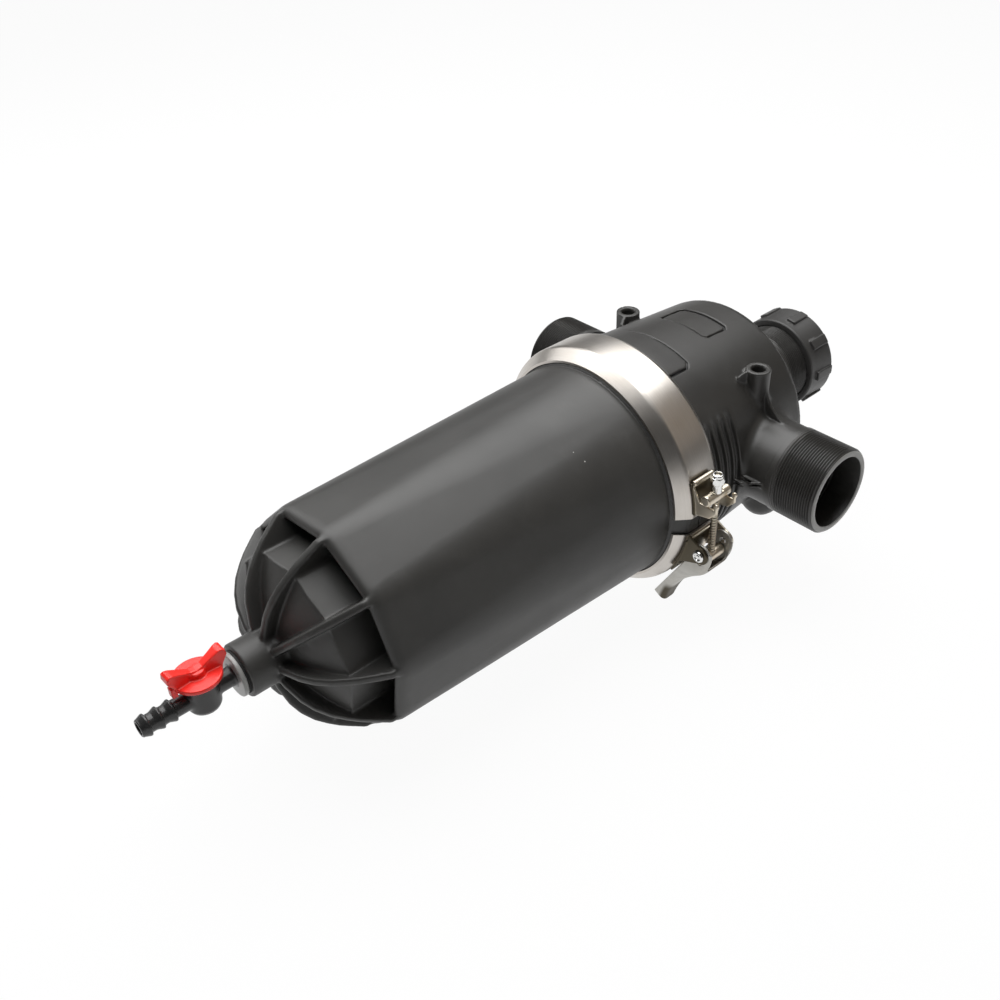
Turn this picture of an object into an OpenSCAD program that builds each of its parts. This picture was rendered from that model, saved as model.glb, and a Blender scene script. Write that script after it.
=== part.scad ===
// Irrigation disc filter: a clamped bowl holds a stack of grooved discs under a head with
// two threaded pipe ports, a capped rear port and, on the bowl's nose, a drain valve.
// X runs along the pipe, +Y points to the rear cap and +Z is up.
// The origin is where the pipe line meets the filter's own axis.

/* [Pipe ports] */
// Outside diameter of the port threads, G 2 1/2
port_thread_d = 75.184; // [72:0.001:78]
// Distance between the two port end faces
port_span = 330; // [320:1:380]
// Length of each port thread with its end chamfer
port_thread_len = 45; // [30:1:50]
// Bore of the three ports
port_bore_d = 62; // [50:0.5:66]
// How much smaller the plain neck is than the thread
neck_relief = 1.6; // [0.8:0.1:3]
// Chamfer on the port ends
port_chamfer = 2; // [0.5:0.1:3]

/* [Head] */
// Distance from the pipe line to the joint between head and bowl
joint_y = 100; // [95:1:120]
// Distance from the pipe line to the head's rear face
head_rear_y = 50; // [48:1:70]
// Distance from the joint back to the end of the head's wide front zone
head_step_len = 50; // [45:1:55]
// Head diameter at the end of that zone
head_step_d = 194; // [188:0.5:197]
// Head diameter at the rear face
head_rear_d = 183; // [178:0.5:186]
// Rounding of the head's rear edge
head_edge_r = 2; // [1:0.5:6]
// Wall of the head
head_wall = 7; // [5:0.5:9]
// Outside diameter of the tube that leads the clean water out
centre_tube_d = 68; // [66:0.5:72]
// Bore of that tube
centre_bore_d = 54; // [44:0.5:58]
// Length of the rear port behind the head's rear face
stub_len = 100; // [80:1:120]

/* [Head details] */
// Distance of each gauge boss from the filter's axis
gauge_x = 73; // [68:0.5:76]
// Distance of each gauge boss behind the pipe line
gauge_y = 2.7; // [-6:0.1:8]
// Height of the gauge bosses above the pipe line
gauge_top = 76.7; // [70:0.1:84]
// Diameter of the gauge bosses
gauge_boss_d = 21; // [18:0.5:26]
// Diameter of the gauge holes, core of G 1/4
gauge_hole_d = 11.445; // [9:0.001:13]
// Depth of the gauge threads
gauge_hole_depth = 15; // [10:0.5:18]
// Diameter of the passage under each gauge thread
gauge_pilot_d = 6; // [4:0.5:8]
// Thickness of the webs on the bosses and necks
web_t = 4; // [3:0.5:6]
// Radius of the curved web between boss and neck
web_arc_r = 36; // [32:0.5:40]
// Number of grooves on each side of the head
groove_count = 4; // [2:1:4]
// Distance from one groove to the next
groove_pitch = 8; // [7:0.5:9]
// Width of each groove
groove_w = 4.6; // [3:0.1:5]
// Depth of each groove
groove_depth = 4; // [2:0.5:5]
// Radius of the rounded feet under the head
foot_r = 18; // [14:0.5:20]
// Distance of each foot from the filter's axis
foot_x = 76; // [70:0.5:80]
// Distance of each foot behind the pipe line
foot_y = 24; // [16:0.5:28]
// Depth of the feet below the pipe line
foot_drop = 80; // [74:0.5:88]
// Width of the plain field on top of the head
field_w = 52; // [40:1:56]
// Length of that field along the filter's axis
field_len = 30; // [20:1:34]
// Depth of that field
field_depth = 1; // [0.5:0.1:2]
// Distance of that field's front edge from the pipe line
field_y = -10; // [-16:1:-4]
// Height of the raised pad beside the clamp
pad_h = 0.9; // [0.5:0.1:1.5]
// Angle that the raised pad covers, in degrees
pad_angle = 52; // [30:1:60]

/* [Bowl] */
// Length of the bowl from the joint to its rim
bowl_len = 283.5; // [270:0.5:320]
// Bowl diameter over the rim's corners
bowl_rim_d = 175.6; // [172:0.1:180]
// Corner radius of the ten-sided rim
bowl_corner_r = 24; // [16:1:36]
// Wall of the bowl
bowl_wall = 5; // [4:0.5:7]
// Number of ribs on the bowl's nose
rib_count = 10; // [8:1:12]
// Turn of the first rib from the pipe line, in degrees
rib_turn = 6.9; // [0:0.1:36]
// Thickness of the ribs
rib_t = 4.6; // [3:0.1:6]
// Depth of the groove behind the rim
rim_groove_depth = 14; // [8:0.5:18]
// Corner diameter of the nose inside the rim
nose_d = 147; // [140:0.5:150]
// Height of the nose's flat sides above the rim
nose_side_h = 23; // [16:0.5:26]
// Height of the nose's dome above the flat sides
nose_dome_h = 22; // [16:0.5:26]
// Radius of the ribs' outer curve
rib_arc_r = 71; // [68:0.5:76]
// Distance of that curve's centre from the filter's axis
rib_arc_x = 15.5; // [12:0.5:18]
// Length of the drain collar in front of the dome
collar_len = 24; // [18:0.5:30]
// Diameter of the drain collar
collar_d = 40; // [36:0.5:44]
// Bore of the drain collar, G 3/4
collar_bore_d = 26.4; // [24:0.1:28]

/* [Clamp] */
// Width of the clamp band
band_w = 46; // [44:0.5:50]
// Outside diameter of the clamp band
band_d = 213; // [212.5:0.1:216]
// Sheet thickness of the clamp band
band_t = 2; // [1.5:0.1:2.2]
// Length of the band's sloping front edge
band_front_slope = 10; // [8:0.5:12]
// Length of the band's sloping rear edge
band_rear_slope = 5; // [4:0.5:7]
// Drop of the front edge towards the bowl
band_front_drop = 8.5; // [7.5:0.1:9]
// Drop of the rear edge towards the head
band_rear_drop = 4.5; // [4:0.1:5]
// Gap between the band's front lip and the bowl
lip_gap = 1.8; // [1:0.1:3]
// Gap between the band's two ends, in degrees
band_gap = 9; // [6:0.5:12]
// Direction of the gap's upper end, in degrees
band_gap_top = 1; // [0:0.5:3]
// Sheet thickness of brackets and lever
plate_t = 2; // [1.5:0.1:2.5]
// Distance of the bolt outside the clamp band
bolt_out = 11.5; // [10:0.5:14]
// Diameter of the clamp bolt, M6
bolt_d = 6; // [5:0.5:8]
// Height of the bolt's end above the pipe line
bolt_top = 44; // [40:0.5:52]
// Height of the saddle's shelf above the pipe line
shelf_z = 20; // [17:0.5:22]
// Width of the saddle over its ears
saddle_w = 24; // [22:0.5:32]
// Diameter of the cross bar on the saddle
seat_bar_d = 9; // [8.5:0.5:11]
// Width of the lever over its cheeks
lever_w = 29; // [27:0.5:31]
// Diameter of the lever's rivets
rivet_d = 6; // [5:0.5:7]
// Depth of the lever's pivot below the pipe line
pivot_drop = 26; // [24:0.5:28]
// Drop of the trunnion below the lever's pivot
trunnion_drop = 8.5; // [8:0.5:10]
// How far the trunnion lies inside the pivot, past dead centre
over_centre = 1; // [0.5:0.5:1.5]
// Diameter of the trunnion
trunnion_d = 9.6; // [9:0.1:10]
// Width of the lever at its tip
lever_tip_w = 17; // [14:0.5:25]
// Radius of the lever's cheeks round its pivot
cheek_r = 9; // [8:0.5:10]
// How far the lever's heel lies outside the pivot
heel_out = 10.6; // [10:0.1:12]
// Radius of the lever's sweep round the bolt's end
sweep_r = 34; // [32:0.5:38]
// Radius of the lever's outward flare
flare_r = 96; // [80:1:120]
// How far the lever's tip lies inside the pivot
tip_in = 41; // [37:0.5:43]
// How far the lever's tip lies below the pivot
tip_drop = 78.5; // [70:0.5:80]
// Depth of the lever's cheeks at the tip
tip_depth = 11.7; // [8:0.1:13]

/* [Rear cap] */
// Diameter of the cap at its open end
cap_front_d = 88; // [86:0.5:92]
// Diameter of the cap at its closed end
cap_rear_d = 90; // [88:0.5:94]
// Length of the cap
cap_len = 33.3; // [28:0.1:40]
// Thickness of the cap's end wall
cap_end_t = 13; // [6:0.5:14]
// Number of grip ribs on the cap
cap_ribs = 9; // [8:1:18]
// Height of the grip ribs
cap_rib_h = 1.6; // [1:0.1:2.5]
// Thickness of the cap's gasket
gasket_t = 3; // [2:0.5:4]

/* [Drain valve] */
// Distance from the collar's face to the valve's stem
valve_reach = 27; // [26:0.5:34]
// Diameter of the ball housing
housing_d = 23; // [22.4:0.1:26]
// Depth of the ball housing below the drain's axis
housing_drop = 12; // [11:0.5:14]
// Height of the ball housing above the drain's axis
housing_rise = 10; // [9.6:0.1:13]
// Diameter of the drain tube
tube_d = 14; // [13:0.5:16]
// Bore of the drain tube
tube_bore_d = 9; // [6:0.5:9.6]
// Distance from the stem to the end of the hose tail
tail_len = 44.8; // [40:0.1:60]
// Diameter of the hose tail between its barbs
tail_d = 12.8; // [12:0.1:14]
// Diameter of the barbs, for 16 mm hose
barb_d = 16.2; // [15:0.1:18]
// Number of barbs
barb_count = 3; // [2:1:4]
// Distance from one barb to the next
barb_pitch = 8.7; // [7:0.1:9]
// Diameter of the valve ball
ball_d = 17.2; // [16:0.1:17.6]
// Diameter of the valve stem
stem_d = 7; // [6:0.1:8]
// Diameter of the handle's disc
handle_d = 33; // [30:0.5:36]
// Thickness of the handle's disc
handle_t = 3.5; // [2.5:0.5:5]
// Length of the handle's wings, tip to tip
wing_span = 42; // [36:0.5:50]
// Height of the wing tips above the handle's disc
wing_h = 16; // [12:0.5:20]
// Thickness of the wings
wing_t = 5; // [4:0.5:7]

/* [Cartridge] */
// Gap between the discs and the narrow end of the bowl
disc_room = 8.5; // [5:0.5:12]
// Inside diameter of the discs
disc_bore_d = 90; // [88:0.5:100]
// Length of the disc stack
stack_len = 236; // [180:1:240]
// Distance between the grooves that show on the stack
disc_pitch = 8; // [6:0.5:14]
// Outside diameter of the spine's tube
spine_d = 66; // [64:0.5:70]
// Number of long ribs and slots on the spine
spine_ribs = 6; // [4:1:8]
// Thickness of the plates at the stack's ends
end_plate_t = 6; // [4:0.5:8]
// Length of the spine's socket on the head's tube
socket_len = 24; // [18:0.5:28]

/* [Clearances] */
// Gap between moulded pieces that are put together
fit_gap = 0.3; // [0.2:0.05:0.5]
// Radial gap of pins and stems that turn
running_gap = 0.05; // [0.02:0.01:0.1]
// Gap between sheet pieces that pass each other
sheet_gap = 0.4; // [0.3:0.05:0.6]
// Gap between a welded bracket and the band
weld_gap = 0.05; // [0.02:0.01:0.1]

/* [Hidden] */
$fn = 96;
eps = 0.01;
reach = 400;

port_end = port_span/2;
thread_start = port_end - port_thread_len;
neck_d = port_thread_d - neck_relief;
step_y = -joint_y + head_step_len;
foot_arc = 78;
foot_root = 10;
web_back = 6;
stay_len = 19;
stay_turn = -115;
gusset_root = 12;
gusset_lead = 8;
gusset_back = 3;
groove_start = 5;
groove_from = -72;
groove_sweep = 100;
field_sweep = 90;
pad_root = 4;
stub_end = head_rear_y + stub_len;

band_r = band_d/2;
band_front = -joint_y - band_w/2;
band_rear = -joint_y + band_w/2;
flange_r = band_r - band_t - fit_gap;
head_front_r = band_r - band_rear_drop - band_t - 2*fit_gap;
bowl_top_d = band_d - 2*(band_front_drop + band_t + lip_gap);
bolt_x = band_r + bolt_out;

rim_y = -joint_y - bowl_len;
rim_chamfer = 4;
rib_arc_back = 21.5;
rib_root = 4;
dome_step = 6;
dome_in = 12;
drain_d = collar_bore_d - 8;
side_count = rib_count;
rim_floor = rim_y + rim_groove_depth;
nose_top = rim_y - nose_side_h;
collar_back = nose_top - nose_dome_h;
collar_face = collar_back - collar_len;
flat_share = cos(180/side_count);
rim_inner_d = bowl_rim_d - 2*bowl_wall;
bowl_bore_top = bowl_top_d/2 - bowl_wall;
bowl_bore_rim = bowl_rim_d/2*flat_share - bowl_wall;
nose_bore = nose_d/2*flat_share - bowl_wall;
chamber_floor = rim_floor + bowl_wall;
dome_floor = nose_top + bowl_wall;
seal_d = 5.2;
seal_edge = 9;
seal_r = flange_r - seal_edge;
seal_squeeze = 0.1;

lever_near = -joint_y - lever_w/2;
lever_far = -joint_y + lever_w/2;
ear_near = lever_near - sheet_gap - plate_t;
ear_far = lever_far + sheet_gap;
pivot = [bolt_x + over_centre, -pivot_drop];
trunnion_at = [bolt_x, -pivot_drop - trunnion_drop];
ear_r = cheek_r - 1;
ear_corner = 0.96*ear_r;
ear_top = 8;
ear_foot = 44;
sweep_rise = 2.1;
sweep_at = pivot + [heel_out - sweep_r, sweep_rise];
lever_tip = pivot - [tip_in, tip_drop];
tip_turn = 143;
tip_inner = lever_tip + tip_depth*[cos(tip_turn), sin(tip_turn)];
flare_at = circles_meet(lever_tip, flare_r, sweep_at, sweep_r + flare_r);
web_from = -32;
waist_turn = heading(flare_at - sweep_at);
waist_step = 3;
taper_from = trunnion_at[1] - trunnion_d;
stub_pin_d = 5;
pad_lip = 0.8;
pad_r = band_r + weld_gap;
saddle_near = -joint_y - saddle_w/2;
saddle_far = -joint_y + saddle_w/2 - plate_t;
saddle_from = 3;
saddle_sweep = 15;
saddle_hook = 10.5;
saddle_hook_t = 2.5;
saddle_rise = 4;
saddle_keel = 10;
saddle_lip_d = 4.8;
bracket_from = -31;
bracket_sweep = 21.5;
rivet_head = 2.2;
rivet_head_t = 2.4;
rivet_end = 0.5;

seat_bar_z = shelf_z + seat_bar_d/2 + sheet_gap;
bar_end = 1.5;
bar_flat = 1.2;
washer_t = 6.6;
washer_d = 8.5;
nut_af = 10;
nut_h = 9;
nut_hex_h = 6.3;
nut_collar_d = 9;
washer_z = seat_bar_z + seat_bar_d/2;
nut_z = washer_z + washer_t;

cap_front = stub_end + gasket_t + cap_end_t - cap_len;
cap_rear = cap_front + cap_len;
cap_bore_d = port_thread_d + 2*fit_gap;
cap_ring = 8;
cap_edge = 3;
cap_rib_t = 9;
cap_web_t = 4;
cap_recess_d = cap_rear_d - 32;
gasket_gap = 0.1;

stem_y = collar_face - valve_reach;
tail_end = stem_y - tail_len;
cavity_d = ball_d + 2.5*fit_gap;
gland_t = 3.3;
handle_z = housing_rise + gland_t + 2*fit_gap;
seat_out = cavity_d/2 + fit_gap;
seat_in = sqrt(pow(ball_d/2, 2) - pow(tube_bore_d/2, 2)) + fit_gap;
seat_ring_d = tube_bore_d + 3;
tang_w = 4;
tang_z = ball_d/2 - 3;
drain_gasket_t = 1.5;
valve_flange_t = 3.5;
valve_flange_d = collar_bore_d + 7;
valve_plug_d = collar_bore_d - 2*running_gap;
housing_edge = 4;
tail_edge = 0.6;
barb_lead = 5.3;
barb_back = 1.4;
barb_land = 0.6;
barb_slope = 4.2;
wing_edge = 3.4;
wing_dip_r = 16;
wing_dip = 9;
wing_neck = 6;
stop_w = 5;
stop_out = 3;
stop_drop = 4;

socket_in = 10;
socket_bite = 6;
socket_wall = 7;
socket_front = -joint_y - socket_in;
tube_front = socket_front + socket_bite;
disc_d = 2*(min(bowl_bore_rim, bowl_bore_top) - disc_room);
plate_d = disc_d + 4;
groove_line = 0.8;
spine_rib_t = 4;
spine_slot_w = 12;
spine_slot_end = 12;
spine_floor = 6;
stack_head = socket_front - end_plate_t;
stack_tail = stack_head - stack_len;
press_front = stack_tail - end_plate_t;
spine_stud_d = 36;
nut_len = 14;
nut_floor = 3;
nut_rim = 5;
nut_wing = 14;
nut_wing_t = 6;
cartridge_seal_t = 4;
cartridge_end = press_front - nut_len;

// Geometry helpers
function skin_r(y) = y < step_y
    ? head_front_r + (head_step_d/2 - head_front_r)*(y - band_rear)/(step_y - band_rear)
    : (head_step_d + (head_rear_d - head_step_d)*(y - step_y)/(head_rear_y - head_edge_r - step_y))/2;
function heading(v) = atan2(v[1], v[0]);
function chord_radius(chord, sag) = chord*chord/(8*sag) + sag/2;
// The outer point at distance ra from a and rb from b
function circles_meet(a, ra, b, rb) =
    let (d = norm(b - a), u = (b - a)/d, along = (d*d + ra*ra - rb*rb)/(2*d))
    a + along*u + sqrt(ra*ra - along*along)*[u[1], -u[0]];
function arc_points(c, r, a0, a1, n) =
    [for (i = [0:n]) c + r*[cos(a0 + (a1 - a0)*i/n), sin(a0 + (a1 - a0)*i/n)]];

// Turns a profile of [radius, y] points about the filter's axis
module about_y() rotate([90, 0, 0]) rotate_extrude() mirror([0, 1]) children();

// The same, from one direction through an angle, counted from +X towards +Z
module sector_y(from, sweep)
    rotate([0, -from, 0]) rotate([90, 0, 0]) rotate_extrude(angle = sweep) mirror([0, 1]) children();

module rod_y(y0, y1, d) translate([0, y0, 0]) rotate([-90, 0, 0]) cylinder(h = y1 - y0, d = d);
module rod_x(x0, x1, d) translate([x0, 0, 0]) rotate([0, 90, 0]) cylinder(h = x1 - x0, d = d);
module ring_y(y0, y1, d_out, d_in) difference() {
    rod_y(y0, y1, d_out);
    rod_y(y0 - 1, y1 + 1, d_in);
}

// Extrudes an [x, z] outline from y0 to y1
module plate_y(y0, y1) translate([0, y1, 0]) rotate([90, 0, 0]) linear_extrude(y1 - y0) children();
module at_xz(p) translate([p[0], 0, p[1]]) children();
module both_sides() {
    children();
    mirror([1, 0, 0]) children();
}
// A threaded pipe end along Y: plain neck, full-size thread and end chamfer
module pipe_end(y0, y_thread, y_end) about_y() polygon([
    [0, y0], [neck_d/2, y0], [neck_d/2, y_thread], [port_thread_d/2, y_thread],
    [port_thread_d/2, y_end - port_chamfer], [port_thread_d/2 - port_chamfer, y_end], [0, y_end]]);

// Head
module head_outside() about_y() polygon(concat([
    [0, -joint_y], [flange_r, -joint_y], [flange_r, band_rear - band_rear_slope - fit_gap],
    [head_front_r, band_rear - fit_gap], [head_front_r, band_rear], [head_step_d/2, step_y],
    [head_rear_d/2, head_rear_y - head_edge_r]],
    arc_points([head_rear_d/2 - head_edge_r, head_rear_y - head_edge_r], head_edge_r, 0, 90, 6),
    [[0, head_rear_y]]));

module head_chamber() about_y() polygon([
    [0, -joint_y - 1], [seal_r - seal_d, -joint_y - 1], [seal_r - seal_d, -joint_y],
    [head_rear_d/2 - head_wall, step_y], [head_rear_d/2 - head_wall, head_rear_y - 2*head_wall],
    [head_rear_d/2 - 2*head_wall, head_rear_y - head_wall], [0, head_rear_y - head_wall]]);

module gauge_boss() {
    translate([gauge_x, gauge_y, 0]) cylinder(h = gauge_top, d = gauge_boss_d);
    arc_at = [gauge_x + gauge_boss_d/2 + web_arc_r - 1, port_thread_d/2 + 0.9*web_arc_r];
    plate_y(gauge_y - web_t/2, gauge_y + web_t/2) difference() {
        translate([gauge_x, 0]) square([arc_at[0] - web_back - gauge_x, arc_at[1]]);
        translate(arc_at) circle(web_arc_r);
    }
    translate([gauge_x, gauge_y, 0]) rotate([0, 0, stay_turn]) translate([0, -web_t/2, 0])
        cube([stay_len, web_t, gauge_top - 1]);
}

module neck_gusset() translate([0, 0, -web_t/2]) linear_extrude(web_t) polygon([
    [head_step_d/2 - gusset_root, step_y - gusset_lead - 2], [head_step_d/2 + 1, step_y - 2],
    [thread_start - gusset_back, -neck_d/2], [thread_start - gusset_back, 0],
    [head_step_d/2 - gusset_root, 0]]);

module under_foot() translate([foot_x, foot_y, -foot_drop]) rotate_extrude() polygon(concat(
    [[0, foot_r*(1 - sin(foot_arc))]], arc_points([0, foot_r], foot_r, -foot_arc, 0, 9),
    [[foot_r, foot_drop - foot_root], [0, foot_drop - foot_root]]));

module side_grooves() for (i = [0:groove_count - 1])
    let (y = band_rear + groove_start + groove_pitch*i)
    both_sides() sector_y(groove_from, groove_sweep) translate([head_front_r - groove_depth, y])
        square([2*groove_depth, groove_w]);

// A raised or sunk field on the head's cone, from y0 to y1, between two heights above its skin
module skin_field(from, sweep, y0, y1, low, high) sector_y(from, sweep) polygon([
    [skin_r(y0) + low, y0], [skin_r(y0) + high, y0], [skin_r(y1) + high, y1], [skin_r(y1) + low, y1]]);

module top_field() intersection() {
    skin_field(90 - field_sweep/2, field_sweep, field_y, field_y + field_len, -field_depth, field_w);
    translate([-field_w/2, -reach/2, 0]) cube([field_w, reach, reach]);
}

module front_pad() skin_field(90 - pad_angle/2, pad_angle, band_rear + 1, step_y + 1, -pad_root, pad_h);

module filter_head() color("#2b2b2b") difference() {
    union() {
        difference() {
            union() {
                head_outside();
                front_pad();
                both_sides() rotate([0, 0, -90]) pipe_end(0, thread_start, port_end);
                pipe_end(0, stub_end - port_thread_len, stub_end);
                both_sides() gauge_boss();
                both_sides() neck_gusset();
                both_sides() under_foot();
            }
            head_chamber();
        }
        rod_y(tube_front, head_rear_y - 1, centre_tube_d);
        rod_x(0, head_rear_d/2 - 2, centre_tube_d + 2);
    }
    rod_y(tube_front - 1, head_rear_y, centre_bore_d);
    rod_y(head_rear_y - eps, stub_end + 1, port_bore_d);
    rod_x(-port_end - 1, -centre_tube_d/2 - 2, port_bore_d);
    rod_x(0, port_end + 1, port_bore_d);
    side_grooves();
    top_field();
    both_sides() translate([gauge_x, gauge_y, 0]) {
        translate([0, 0, gauge_top - gauge_hole_depth])
            cylinder(h = gauge_hole_depth + 1, d = gauge_hole_d);
        cylinder(h = gauge_top, d = gauge_pilot_d);
    }
}

// Bowl
module rim_outline(d) offset(r = bowl_corner_r, $fn = 80)
    rotate(rib_turn) circle(d = d - 2*bowl_corner_r, $fn = side_count);

module bowl_skin() hull() {
    rod_y(band_front, band_front + eps, bowl_top_d);
    plate_y(rim_y + rim_chamfer, rim_y + rim_chamfer + eps) rim_outline(bowl_rim_d);
    plate_y(rim_y, rim_y + eps) rim_outline(bowl_rim_d - 0.8*rim_chamfer);
}

module bowl_flange() about_y() polygon([
    [0, band_front], [bowl_top_d/2, band_front],
    [flange_r - band_front_drop, band_front + 2*fit_gap],
    [flange_r, band_front + band_front_slope + 2*fit_gap], [flange_r, -joint_y - fit_gap],
    [0, -joint_y - fit_gap]]);

module nose_prism(d, y0, y1) plate_y(y0, y1) rotate(rib_turn) circle(d = d, $fn = side_count);

module nose_dome(y_side, r_side, h)
    let (ball = chord_radius(2*r_side, h))
    about_y() intersection() {
        translate([0, y_side - h + ball]) circle(ball);
        translate([0, y_side - h]) square([r_side, h + eps]);
    }

module nose_rib() plate_y(-rib_t/2, rib_t/2) intersection() {
    translate([rib_arc_x, -rim_y - rib_arc_back]) circle(rib_arc_r);
    translate([collar_d/2 - rib_root, -rim_floor - 1])
        square([rim_inner_d/2 - collar_d/2 + rib_root + 1, reach]);
}

module nose_ribs() for (i = [0:rib_count - 1])
    rotate([0, -rib_turn - 360/rib_count*i, 0]) rotate([90, 0, 0]) nose_rib();

module bowl_chamber() about_y() polygon([
    [0, -joint_y + 1], [bowl_bore_top, -joint_y + 1], [bowl_bore_top, band_front],
    [bowl_bore_rim, chamber_floor], [nose_bore, chamber_floor], [nose_bore, dome_floor],
    [nose_bore - dome_in, dome_floor - dome_step], [0, dome_floor - dome_step]]);

module filter_bowl() color("#303030") difference() {
    union() {
        bowl_flange();
        difference() {
            bowl_skin();
            nose_prism(rim_inner_d, rim_y - 1, rim_floor);
        }
        nose_prism(nose_d, nose_top, rim_floor + 1);
        nose_dome(nose_top + eps, nose_d/2*flat_share, nose_dome_h + 1);
        nose_ribs();
        rod_y(collar_face, nose_top, collar_d);
    }
    bowl_chamber();
    rod_y(collar_face - 1, collar_back + dome_step, collar_bore_d);
    rod_y(collar_back, dome_floor, drain_d);
    ring_y(-joint_y - fit_gap - seal_d, -joint_y, 2*seal_r + 1.1*seal_d, 2*seal_r - 1.1*seal_d);
}

module body_seal() color("#151515") about_y()
    translate([seal_r, -joint_y - seal_d/2 - seal_squeeze]) circle(d = seal_d, $fn = 32);

// Clamp
module clamp_band() color("#b9b2a6") sector_y(band_gap_top, 360 - band_gap) polygon([
    [band_r - band_front_drop, band_front], [band_r, band_front + band_front_slope],
    [band_r, band_rear - band_rear_slope], [band_r - band_rear_drop, band_rear],
    [band_r - band_rear_drop - band_t, band_rear], [band_r - band_t, band_rear - band_rear_slope],
    [band_r - band_t, band_front + band_front_slope], [band_r - band_front_drop - band_t, band_front]]);

// A pad on the band and two ears that stand on it, from the near ear's front to the far ear's
module band_pad(from, sweep, near, far) sector_y(from, sweep)
    translate([pad_r, near - pad_lip]) square([plate_t, far + plate_t - near + 2*pad_lip]);

module both_ears(near, far) {
    plate_y(near, near + plate_t) children();
    plate_y(far, far + plate_t) children();
}

// Trims an ear's outline so that it ends inside its pad
module outside_pad() difference() {
    children();
    circle(pad_r + plate_t/2);
}

module saddle_ear() outside_pad() union() {
    hook = bolt_x + saddle_hook;
    polygon([[band_r - 3*plate_t, shelf_z - 1.5*saddle_keel], [bolt_x + saddle_rise, shelf_z - saddle_keel],
        [hook, shelf_z - 1.5*plate_t], [hook, shelf_z + saddle_rise],
        [hook - saddle_hook_t, shelf_z + saddle_rise], [hook - saddle_hook_t, shelf_z],
        [bolt_x - 1.5*saddle_rise, shelf_z], [band_r - plate_t, shelf_z + 1.2*saddle_keel]]);
    translate([hook - saddle_hook_t/2, shelf_z + saddle_rise]) circle(1.1*plate_t, $fn = 32);
}

module bolt_saddle() color("#c9bfa0") {
    band_pad(saddle_from, saddle_sweep, saddle_near, saddle_far);
    both_ears(saddle_near, saddle_far) saddle_ear();
    rotate([0, -saddle_from - saddle_sweep, 0]) translate([pad_r + 1.5*plate_t, 0, 0])
        rod_y(saddle_near + plate_t/4, saddle_far + 3*plate_t/4, saddle_lip_d);
}

module bracket_ear() outside_pad() union() {
    translate(pivot) circle(ear_r);
    polygon([[band_r - 3*plate_t, -ear_top], pivot + ear_corner*[cos(70), sin(70)], pivot,
        pivot + ear_corner*[cos(-80), sin(-80)], [band_r - 6*plate_t, -ear_foot]]);
}

module lever_bracket() color("#8d8678") difference() {
    union() {
        band_pad(bracket_from, bracket_sweep, ear_near, ear_far);
        both_ears(ear_near, ear_far) bracket_ear();
    }
    at_xz(pivot) rod_y(ear_near - 1, ear_far + plate_t + 1, rivet_d + 2*running_gap);
}

module lever_rivet() rotate([-90, 0, 0]) rotate_extrude() polygon([
    [0, -rivet_head_t], [rivet_d/2 + rivet_head/3, -rivet_head_t],
    [rivet_d/2 + rivet_head, -rivet_head_t/2], [rivet_d/2 + rivet_head, 0], [rivet_d/2, 0],
    [rivet_d/2, 2*plate_t + sheet_gap + rivet_end], [0, 2*plate_t + sheet_gap + rivet_end]]);

module lever_rivets() color("#c8c8c4") at_xz(pivot) {
    translate([0, ear_near, 0]) lever_rivet();
    translate([0, ear_far + plate_t, 0]) mirror([0, 1, 0]) lever_rivet();
}

// The lever's web, at a distance outside its middle: round the bolt's end, then out to the tip
function lever_line(out, from, to) = concat(
    arc_points(sweep_at, sweep_r + out, from, waist_turn, 12),
    arc_points(flare_at, flare_r - out, waist_turn + 180 + waist_step, to, 12));

module lever_side() {
    corner = cheek_r - plate_t/2;
    polygon(concat([pivot + corner*[cos(195), sin(195)], pivot + corner*[cos(30), sin(30)]],
        lever_line(plate_t/2, 2, heading(lever_tip - flare_at)), [tip_inner]));
}

// Room between the cheeks, open at the heel so that the bolt can swing through
module lever_room() polygon(concat(
    lever_line(-plate_t/2, web_from, heading(lever_tip - flare_at) + 2*waist_step),
    [lever_tip - [2*sweep_r, sweep_r], sweep_at + [-2*sweep_r, 2*sweep_r],
        sweep_at + [2*sweep_r, 2*sweep_r], sweep_at + 2*sweep_r*[cos(web_from), sin(web_from)]]));

// Full width at the cheeks, narrower towards the tip
module lever_plan(inset) {
    wide = lever_w/2 - inset;
    slim = lever_tip_w/2 - inset;
    translate([0, -joint_y, 0]) rotate([90, 0, 90]) linear_extrude(reach) polygon([
        [-wide, reach], [-wide, taper_from], [-slim, lever_tip[1]], [-slim, -reach],
        [slim, -reach], [slim, lever_tip[1]], [wide, taper_from], [wide, reach]]);
}

module clamp_lever() color("#8a8780") difference() {
    union() {
        at_xz(pivot) rod_y(lever_near, lever_far, 2*cheek_r);
        intersection() {
            plate_y(lever_near, lever_far) lever_side();
            lever_plan(0);
        }
    }
    intersection() {
        plate_y(lever_near, lever_far) lever_room();
        lever_plan(plate_t);
    }
    at_xz(pivot) rod_y(lever_near - 1, lever_far + 1, rivet_d + 2*running_gap);
    at_xz(trunnion_at) rod_y(lever_near - 1, lever_far + 1, stub_pin_d + 2*running_gap);
}

module trunnion() color("#c9b98a") difference() {
    at_xz(trunnion_at) {
        rod_y(lever_near, lever_far, stub_pin_d);
        rod_y(lever_near + plate_t + sheet_gap, lever_far - plate_t - sheet_gap, trunnion_d);
    }
    translate([bolt_x, -joint_y, trunnion_at[1] - trunnion_d])
        cylinder(h = 3*trunnion_d, d = bolt_d + 2*running_gap);
}

module clamp_bolt() color("#c2b58f") translate([bolt_x, -joint_y, trunnion_at[1] - trunnion_d/2])
    cylinder(h = bolt_top - trunnion_at[1] + trunnion_d/2, d = bolt_d);

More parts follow.
